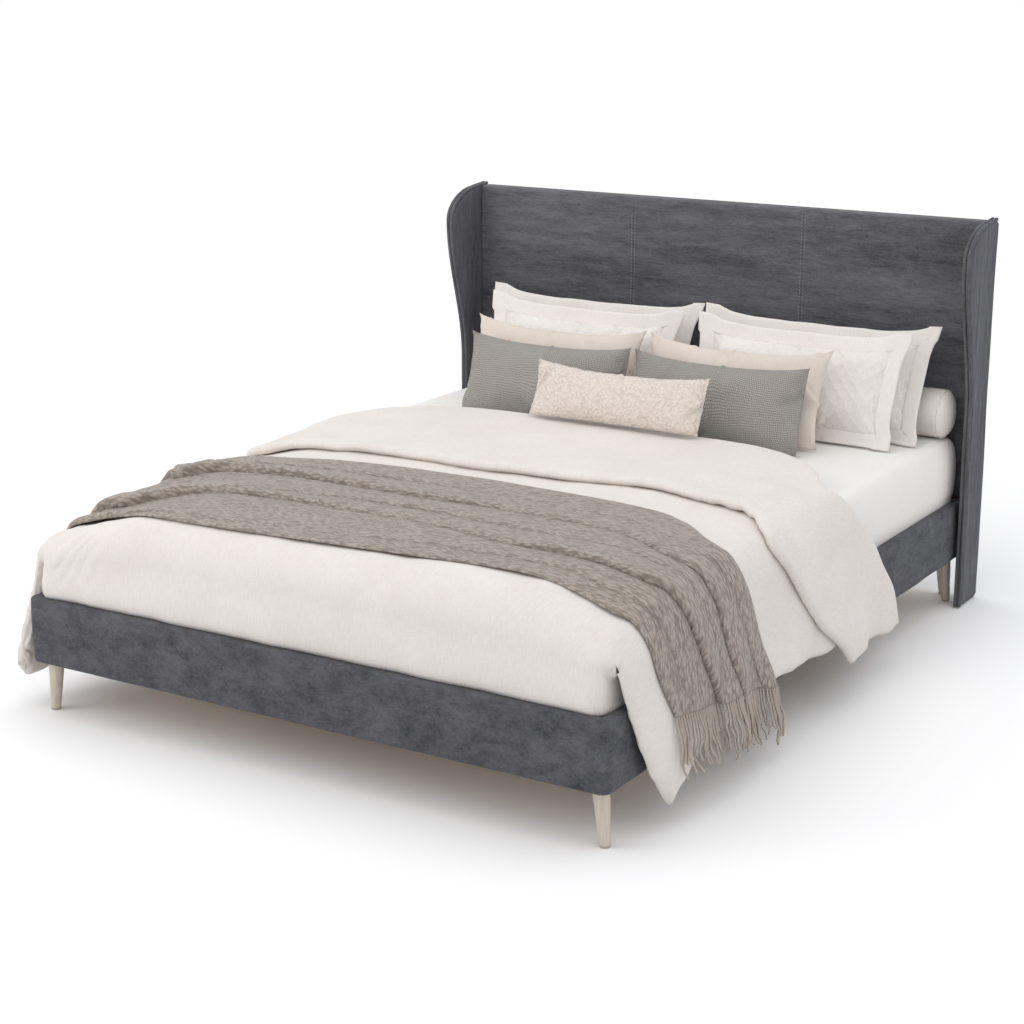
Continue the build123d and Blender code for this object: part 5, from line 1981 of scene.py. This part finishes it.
@dataclass
class Cushion:
    """Pillow of two flat pieces of cloth sewn round their edge, blown up and leaned back."""

    node: str
    kind: CushionKind
    seed: int
    cell: float = 9 * MM
    lumps: float = 1.5 * MM
    frames: int = 24
    ear: float = 6 * MM
    low_dip: float = 4 * MM
    # How far the bottom is pressed flat, and how far the top bends forwards
    press: float = 16 * MM
    slump: float = 22 * MM
    sway: float = 6 * MM
    clear: float = 6 * MM
    # Half the gap between the flat sheets before they are blown up
    apart: float = 4 * MM
    border_wave: float = 3.6 * MM
    border_steps: int = 7
    border_thick: float = 3.4 * MM
    # How the cloth behaves in the simulation
    stuff: ClassVar[dict[str, object]] = {
        "quality": 6, "mass": 0.2, "tension_stiffness": 40, "compression_stiffness": 10,
        "shear_stiffness": 8, "bending_stiffness": 0.15, "air_damping": 4,
        "use_pressure": True, "uniform_pressure_force": 5,
    }

    def sheets(self) -> tuple[Array, Array, Array, Array]:
        """Two flat sheets that share their sewn edge.

        Returns:
            Points, faces, flat places, and the numbers of the points on the seam in order.
        """
        wide = self.kind.width - 2 * self.kind.flange
        tall = self.kind.height - 2 * self.kind.flange
        columns = int(wide / self.cell) + 1
        rows = int(tall / self.cell) + 1
        front = np.arange(rows * columns).reshape(rows, columns)
        back = front.copy()
        inner = (rows - 2) * (columns - 2)
        back[1:-1, 1:-1] = np.arange(inner).reshape(rows - 2, columns - 2) + rows * columns
        flat = np.stack(np.meshgrid(np.linspace(-wide / 2, wide / 2, columns),
                                    np.linspace(-tall / 2, tall / 2, rows)), -1)
        places = np.vstack([flat.reshape(-1, 2), flat[1:-1, 1:-1].reshape(-1, 2)])
        depth = np.concatenate([np.full(rows * columns, -self.apart), np.full(inner, self.apart)])
        seam = np.concatenate([front[0, :-1], front[:-1, -1], front[-1, :0:-1], front[:0:-1, 0]])
        depth[seam] = 0.0
        points = np.column_stack([places[:, 0], depth, places[:, 1]])
        faces = np.vstack([grid_faces(front), grid_faces(back)[:, ::-1]])
        return points, faces, places, seam

    def blown(self, points: Array, faces: Array) -> Array:
        """Args:
            points: the flat points.
            faces: the faces.

        Returns:
            The points after the simulation.
        """
        made = make_object(self.node + "_cloth", points, faces, self.kind.finish.material())
        cloth = made.modifiers.new("cloth", "CLOTH")
        for name, value in self.stuff.items():
            setattr(cloth.settings, name, value)
        cloth.settings.effector_weights.gravity = 0
        cloth.collision_settings.use_collision = False
        cloth.point_cache.frame_start = 1
        cloth.point_cache.frame_end = self.frames
        scene = bpy.context.scene
        for number in range(1, self.frames + 1):
            scene.frame_set(number)
        moved = made.evaluated_get(bpy.context.evaluated_depsgraph_get())
        out = np.empty(len(points) * 3)
        moved.data.vertices.foreach_get("co", out)
        scene.frame_set(1)
        bpy.data.objects.remove(made)
        return out.reshape(-1, 3)

    def outlined(self, points: Array, flat: Array) -> Array:
        """Brings the seam to the pillow's outline, and the form inside it along with it.

        Args:
            points: the form's points, thickness along Y.
            flat: their flat places.

        Returns:
            The points moved across and up.
        """
        kind = self.kind
        half = flat.max(0)
        out = points.copy()
        for part, axis, full, dips in (
            (0, 0, kind.width / 2 - kind.flange, (kind.waist, kind.waist)),
            (1, 2, kind.height / 2 - kind.flange, (kind.dip, self.low_dip)),
        ):
            for way, dip in zip((1, -1), dips):
                edge = np.flatnonzero(np.abs(flat[:, part] - way * half[part]) < 1e-6)
                edge = edge[np.argsort(flat[edge, 1 - part])]
                place = flat[edge, 1 - part]
                wanted = full - dip * (1 - np.abs(place / half[1 - part]) ** kind.ears)
                ratio = wanted / np.maximum(np.abs(points[edge, axis]), 1 * MM)
                near = points[:, axis] * way > 0
                out[near, axis] *= np.interp(flat[near, 1 - part], place, ratio)
        return out

    def shaped(self, points: Array, flat: Array) -> Array:
        """Brings the blown form to its real size, fuller low down, with faint lumps.

        Args:
            points: the form's points, thickness along Y.
            flat: their flat places.

        Returns:
            The points in the pillow's own axes: across, depth towards the back, up.
        """
        kind = self.kind
        points = self.outlined(points, flat)
        front = points[:, 1] < 0
        depth = np.where(front, points[:, 1] / -points[:, 1].min() * kind.front,
                         points[:, 1] / points[:, 1].max() * kind.back)
        if kind.flange:
            inset = (np.abs(flat).max(0) - np.abs(flat)).min(1)
            depth *= 0.05 + 0.95 * ramp(inset, -12 * MM, 72 * MM)
        points[:, 1] = depth * (1 - 0.25 * points[:, 2] / kind.height)
        near = flat + self.seed
        lumps = ripples(near, 0.16, self.seed) + 0.5 * ripples(near, 0.07, self.seed + 1)
        swell = np.clip(np.abs(points[:, 1]) / kind.front * 3, 0, 1)
        points[:, 1] += np.sign(points[:, 1]) * lumps * self.lumps * swell
        return points

    def leaned(self, points: Array) -> Array:
        """Stands the pillow in its place, leaning back, resting on what is under it.

        Args:
            points: points in the pillow's own axes.

        Returns:
            Points in the frame's axes.
        """
        span = Span.of(self.node)
        tall = self.kind.height
        tilt = math.radians(self.kind.lean)
        up = points[:, 2] + tall / 2
        sway = self.sway * math.sin(self.seed) * points[:, 0] / self.kind.width * 2
        depth = points[:, 1] - self.slump * (up / tall) ** 2 + sway
        start = span.high.y - tall * math.sin(tilt) - self.clear
        floor = span.low.z + 1 * MM
        out = np.empty_like(points)
        out[:, 0] = span.mid.x + points[:, 0]
        out[:, 1] = start + up * math.sin(tilt) + depth * math.cos(tilt)
        low = span.low.z + up * math.cos(tilt) - depth * math.sin(tilt) - floor
        sunk = self.press * np.exp(np.clip(low / self.press - 1, -4, 0))
        out[:, 2] = floor + np.where(low > self.press, low, sunk)
        return out

    def rim(self, points: Array, seam: Array, flat: Array) -> Shell:
        """Flat border outside the seam, in gentle waves, its corners a little drawn up.

        Args:
            points: the pillow's points in its own axes.
            seam: the numbers of the points on the seam, in order.
            flat: the flat places.

        Returns:
            Points, faces and flat places of the border as a closed shell.
        """
        loop = points[seam]
        cloth = flat[seam]
        whole = np.abs(cloth).max(0)
        way = np.sign(cloth) * (np.abs(cloth) > whole - 1e-6)
        corner = ramp((np.abs(cloth) / whole).min(1), 0.82, 1.0)
        lane = np.cumsum(np.full(len(seam), self.cell))[:, None] * (1, 0)
        wave = self.border_wave * ripples(lane, 0.16, self.seed + 2)
        wave += 1.0 * MM * ripples(lane, 0.06, self.seed + 3)
        rings = []
        shares = np.linspace(-0.12, 1, self.border_steps + 1)
        for share in shares:
            ring = loop.copy()
            ring[:, 0] += way[:, 0] * self.kind.flange * share
            ring[:, 2] += way[:, 1] * self.kind.flange * share
            ring[:, 0] += np.sign(cloth[:, 0]) * corner * self.ear * 0.5 * share ** 2
            ring[:, 2] += np.sign(cloth[:, 1]) * corner * self.ear * share ** 2
            ring[:, 1] += share * wave - 5 * MM * corner * share ** 2
            rings.append(ring)
        places = np.vstack([cloth + way * self.kind.flange * share for share in shares])
        index = np.arange(len(places)).reshape(len(shares), len(seam))
        faces = grid_faces(np.hstack([index, index[:, :1]]))[:, ::-1]
        return padded_shell(np.vstack(rings), faces, places, self.border_thick, 3 * MM, 0.5)

    def build(self) -> Object:
        """Builds the pillow, with its border where it has one.

        Returns:
            The finished pillow.
        """
        points, faces, flat, seam = self.sheets()
        form = self.shaped(self.blown(points, faces), flat)
        made = make_object(self.node + "_filled", self.leaned(form), faces,
                           self.kind.finish.material(), flat)
        crease = made.data.attributes.new("crease_edge", "FLOAT", "EDGE")
        on_seam = np.zeros(len(points), bool)
        on_seam[seam] = True
        ends = np.empty(len(made.data.edges) * 2, np.int32)
        made.data.edges.foreach_get("vertices", ends)
        crease.data.foreach_set("value", on_seam[ends.reshape(-1, 2)].all(1).astype(float) * 0.7)
        finer = made.modifiers.new("finer", "SUBSURF")
        finer.levels = finer.render_levels = 1
        made = applied(made)
        settle(made, Body.BEDDING, [self.node])
        if self.kind.flange:
            border = self.rim(form, seam, flat)
            rim = make_object(self.node + "_border", self.leaned(border[0]), border[1],
                              self.kind.border.material(), border[2])
            settle(rim, Body.BEDDING, [self.node])
        return made


@dataclass
class Bolster:
    """Round bolster against the headboard, with a piped seam round each end."""

    cap: float = 26 * MM
    step: float = 12 * MM
    piping: float = 2.4 * MM
    # The end's radius at its seam, as a share of the whole
    seam_share: float = 0.985

    def build(self) -> None:
        """Builds the bolster and its piping."""
        span = Span.of("bolster")
        radius = (span.high.y - span.low.y) / 2
        seam = (span.high.x - span.low.x) / 2 - self.cap
        bend = np.linspace(0.04, math.pi / 2, 12)
        end = [(seam + self.cap * math.cos(a), 0.965 * radius * math.sin(a)) for a in bend]
        end += [(seam - 3 * MM, self.seam_share * radius), (seam - 9 * MM, radius)]
        run = np.arange(-seam + 2 * self.step, seam - self.step, self.step)
        profile = np.array([(-x, r) for x, r in end] + [(x, radius) for x in run] + end[::-1])
        around = np.linspace(0, TAU, 96, endpoint=False)
        flat = np.stack(np.broadcast_arrays(profile[:, :1], radius * around[None, :]), -1)
        soft = ripples(flat.reshape(-1, 2), 0.2, 95).reshape(flat.shape[:2]) * 1.6 * MM
        near_seam = np.exp(-((np.abs(profile[:, :1]) - seam + 14 * MM) / (16 * MM)) ** 2)
        soft = soft + np.sin(around * 38 + 2 * np.sin(around * 5))[None, :] * 0.9 * MM * near_seam
        reach = profile[:, 1:] + soft * np.clip(profile[:, 1:] / radius, 0, 1)
        floor = span.low.z + 0.5 * MM
        rings = np.empty((len(profile), len(around), 3))
        rings[..., 0] = profile[:, :1] + span.mid.x
        rings[..., 1] = span.mid.y + reach * np.cos(around)
        rings[..., 2] = np.maximum(span.low.z + radius + reach * np.sin(around), floor)
        made = make_object("bolster_filled", rings.reshape(-1, 3), ring_skin(rings),
                           BOLSTER_LINEN.material(), flat.reshape(-1, 2))
        settle(made, Body.BEDDING, ["bolster"])
        turn = np.linspace(0, TAU, 72, endpoint=False)
        lines = []
        round_seam = self.seam_share * radius
        height = np.maximum(span.low.z + radius + round_seam * np.sin(turn), floor + 2 * MM)
        for way in (-1, 1):
            lines.append(np.column_stack([np.full(len(turn), span.mid.x + way * seam),
                                          span.mid.y + round_seam * np.cos(turn), height]))
        made = Piping(self.piping, 8).build("bolster_piping", lines, BOLSTER_LINEN, True)
        settle(made, Body.BEDDING, [])


OXFORD = (PILLOW_QUILTED, "pillow_linen", 22 * MM, 20 * MM, 4.5, 42 * MM, PILLOW_LINEN)
KINDS = {
    "oxford_pillow_back": CushionKind(0.740, 0.355, 0.052, 0.020, 30, *OXFORD),
    "oxford_pillow_front": CushionKind(0.665, 0.342, 0.054, 0.020, 28, *OXFORD),
    "taupe_cushion": CushionKind(0.590, 0.292, 0.058, 0.022, 25, TAUPE_COTTON, "taupe_cotton",
                                 34 * MM, 24 * MM, 3.0),
    "grey_cushion": CushionKind(0.555, 0.255, 0.068, 0.024, 22, GREY_WEAVE, "grey_weave",
                                25 * MM, 9 * MM, 2.6),
}
LUMBAR = CushionKind(0.555, 0.172, 0.052, 0.022, 30, BOUCLE, "boucle_cream", 22 * MM, 7 * MM, 2.6)


# Slatted base, legs and fittings

class Structure:
    """The frame's own timber, steel and feet, which keep their shape and get their finish."""

    finishes: dict[Finish, tuple[str, ...]] = {
        PLYWOOD: ("side_rail_board_left", "side_rail_board_right", "foot_rail_board", "head_rail",
                  "slat_ledger_left", "slat_ledger_right", "centre_beam", "corner_blocks",
                  "headboard_board"),
        # The cloth goes on round the foot of the wings
        WING_VELVET: ("wing_board_left", "wing_board_right"),
        LEG_PAINT: ("leg_front_left", "leg_front_right", "leg_rear_left", "leg_rear_right",
                    "headboard_legs"),
        ZINC: ("beam_hangers", "frame_bolts"),
        POWDER_COAT: ("centre_leg_front", "centre_leg_rear"),
        NYLON: ("levelling_foot_front", "levelling_foot_rear"),
        FELT: ("leg_glides",),
        PINE: tuple(sorted(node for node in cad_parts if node.startswith("slat_")
                           and not node.startswith("slat_ledger"))),
    }

    def build(self) -> None:
        """Dresses every node that stays."""
        for finish, nodes in self.finishes.items():
            for node in nodes:
                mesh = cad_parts[node].data
                mesh.materials.clear()
                mesh.materials.append(finish.material())
                LOG.info("%s: finished in %s", node, finish.name)


# Floor, light and camera

@dataclass
class Studio:
    """Plain pale floor, soft light from above and both sides, and the camera."""

    camera_place: tuple[float, float, float] = (2.8483, -4.7348, 1.9086)
    azimuth: float = math.radians(31.75)
    elevation: float = math.radians(15.36)
    lens: float = 74.37
    half_floor: float = 30.0
    # Distances from the bed's middle between which the floor turns white
    fade: tuple[float, float] = (1.5, 2.8)
    sky_power: float = 1.04
    # Each lamp's place, side in metres, power in watts and colour; all point at one spot
    lamps: ClassVar[dict[str, tuple[tuple[float, float, float], float, float, str]]] = {
        "top": ((-0.2, -0.4, 4.6), 4.5, 38, "fffbf7"),
        "key": ((-3.0, -3.6, 2.3), 2.2, 34, "fffbf7"),
        "fill": ((4.8, -1.8, 2.6), 3.0, 8, "fbfaf8"),
    }
    aim: tuple[float, float, float] = (0.0, 0.0, 0.4)

    def seen(self, tree: NodeTree) -> NodeSocket:
        """Tells the rays that come from the camera, a reflection or through glass.

        Args:
            tree: a material's or the world's node tree.

        Returns:
            One for those rays, and nought for the others.
        """
        rays = add_node(tree, "ShaderNodeLightPath").outputs
        share = rays["Is Camera Ray"]
        for kind in ("Is Glossy Ray", "Is Transmission Ray"):
            share = add_node(tree, "ShaderNodeMath", {0: share, 1: rays[kind]},
                             operation="MAXIMUM").outputs[0]
        return share

    def floor(self) -> None:
        """Pale floor that fades into white away from the bed, and keeps the shadow."""
        half = self.half_floor
        corners = np.array([(-half, -half, 0), (half, -half, 0), (half, half, 0), (-half, half, 0)])
        material = bpy.data.materials.new("matt_white_floor")
        material.use_nodes = True
        tree = material.node_tree
        tree.nodes.remove(tree.nodes["Principled BSDF"])
        glow = add_node(tree, "ShaderNodeEmission", {"Color": (1, 1, 1, 1), "Strength": 1.0})
        place = add_node(tree, "ShaderNodeTexCoord").outputs["Object"]
        far = add_node(tree, "ShaderNodeVectorMath", {0: place}, operation="LENGTH")
        fade = add_node(tree, "ShaderNodeMapRange", {
            "Value": far.outputs["Value"], "From Min": self.fade[0], "From Max": self.fade[1],
        }, interpolation_type="SMOOTHSTEP")
        seen = self.seen(tree)
        # Brighter to the camera than to the light, so that it comes out as white as the rest
        white = add_node(tree, "ShaderNodeMix", {
            0: seen, 6: (0.80, 0.80, 0.80, 1), 7: (1.0, 1.0, 1.0, 1)}, data_type="RGBA")
        matt = add_node(tree, "ShaderNodeBsdfDiffuse", {"Color": white.outputs[2]})
        share = add_node(tree, "ShaderNodeMath", {0: fade.outputs[0], 1: seen},
                         operation="MULTIPLY")
        mix = add_node(tree, "ShaderNodeMixShader",
                       {0: share.outputs[0], 1: matt.outputs[0], 2: glow.outputs[0]})
        tree.links.new(mix.outputs[0], tree.nodes["Material Output"].inputs[0])
        make_object("floor", corners, [[0, 1, 2, 3]], material, closed=False)

    def sky(self) -> None:
        """Even light from all round, and white behind the bed."""
        world = bpy.data.worlds.new("studio")
        world.use_nodes = True
        tree = world.node_tree
        tree.nodes.clear()
        soft, white = (
            add_node(tree, "ShaderNodeBackground", {"Color": colour, "Strength": strength})
            for colour, strength in ((linear("f1f2f5"), self.sky_power), ((1, 1, 1, 1), 1.0)))
        mix = add_node(tree, "ShaderNodeMixShader",
                       {0: self.seen(tree), 1: soft.outputs[0], 2: white.outputs[0]})
        add_node(tree, "ShaderNodeOutputWorld", {0: mix.outputs[0]})
        bpy.context.scene.world = world

    def light(self) -> None:
        """Square soft lamps that point at the bed."""
        for name, (place, side, power, colour) in self.lamps.items():
            light = bpy.data.lights.new(name, "AREA")
            light.size = side
            light.energy = power
            light.color = linear(colour)[:3]
            lamp = linked(name, light)
            lamp.location = place
            lamp.rotation_mode = "QUATERNION"
            lamp.rotation_quaternion = (Vector(self.aim) - Vector(place)).to_track_quat("-Z", "Y")

    def camera(self) -> None:
        """Sets the camera at the photograph's angle."""
        turn, rise = self.azimuth, self.elevation
        back = Vector((math.sin(turn) * math.cos(rise), -math.cos(turn) * math.cos(rise),
                       math.sin(rise)))
        right = Vector((math.cos(turn), math.sin(turn), 0))
        data = bpy.data.cameras.new("camera")
        data.lens = self.lens
        data.clip_end = 200
        camera = linked("camera", data)
        camera.matrix_world = Matrix.Translation(self.camera_place) @ Matrix(
            (right, back.cross(right), back)).transposed().to_4x4()
        bpy.context.scene.camera = camera

    def build(self) -> None:
        """Sets up the whole studio."""
        self.floor()
        self.sky()
        self.light()
        self.camera()
        bpy.context.scene.view_settings.view_transform = "Standard"


def main() -> None:
    """Builds the studio, then the bed from its frame outwards."""
    logging.basicConfig(level=logging.INFO, format="%(name)s: %(message)s")
    Studio().build()
    Structure().build()
    Rails().build()
    Headboard().build()
    for side in Side:
        Wing(side).build()
    drape = Drape.of_frame()
    Mattress(drape).build()
    Duvet(drape).build()
    Throw(drape).build()
    Bolster().build()
    seed = 100
    for name, kind in KINDS.items():
        for side in Side:
            seed += 7
            Cushion(f"{name}_{side.word}", kind, seed).build()
    Cushion("lumbar_cushion", LUMBAR, seed + 7).build()


if __name__ == "__main__":
    main()
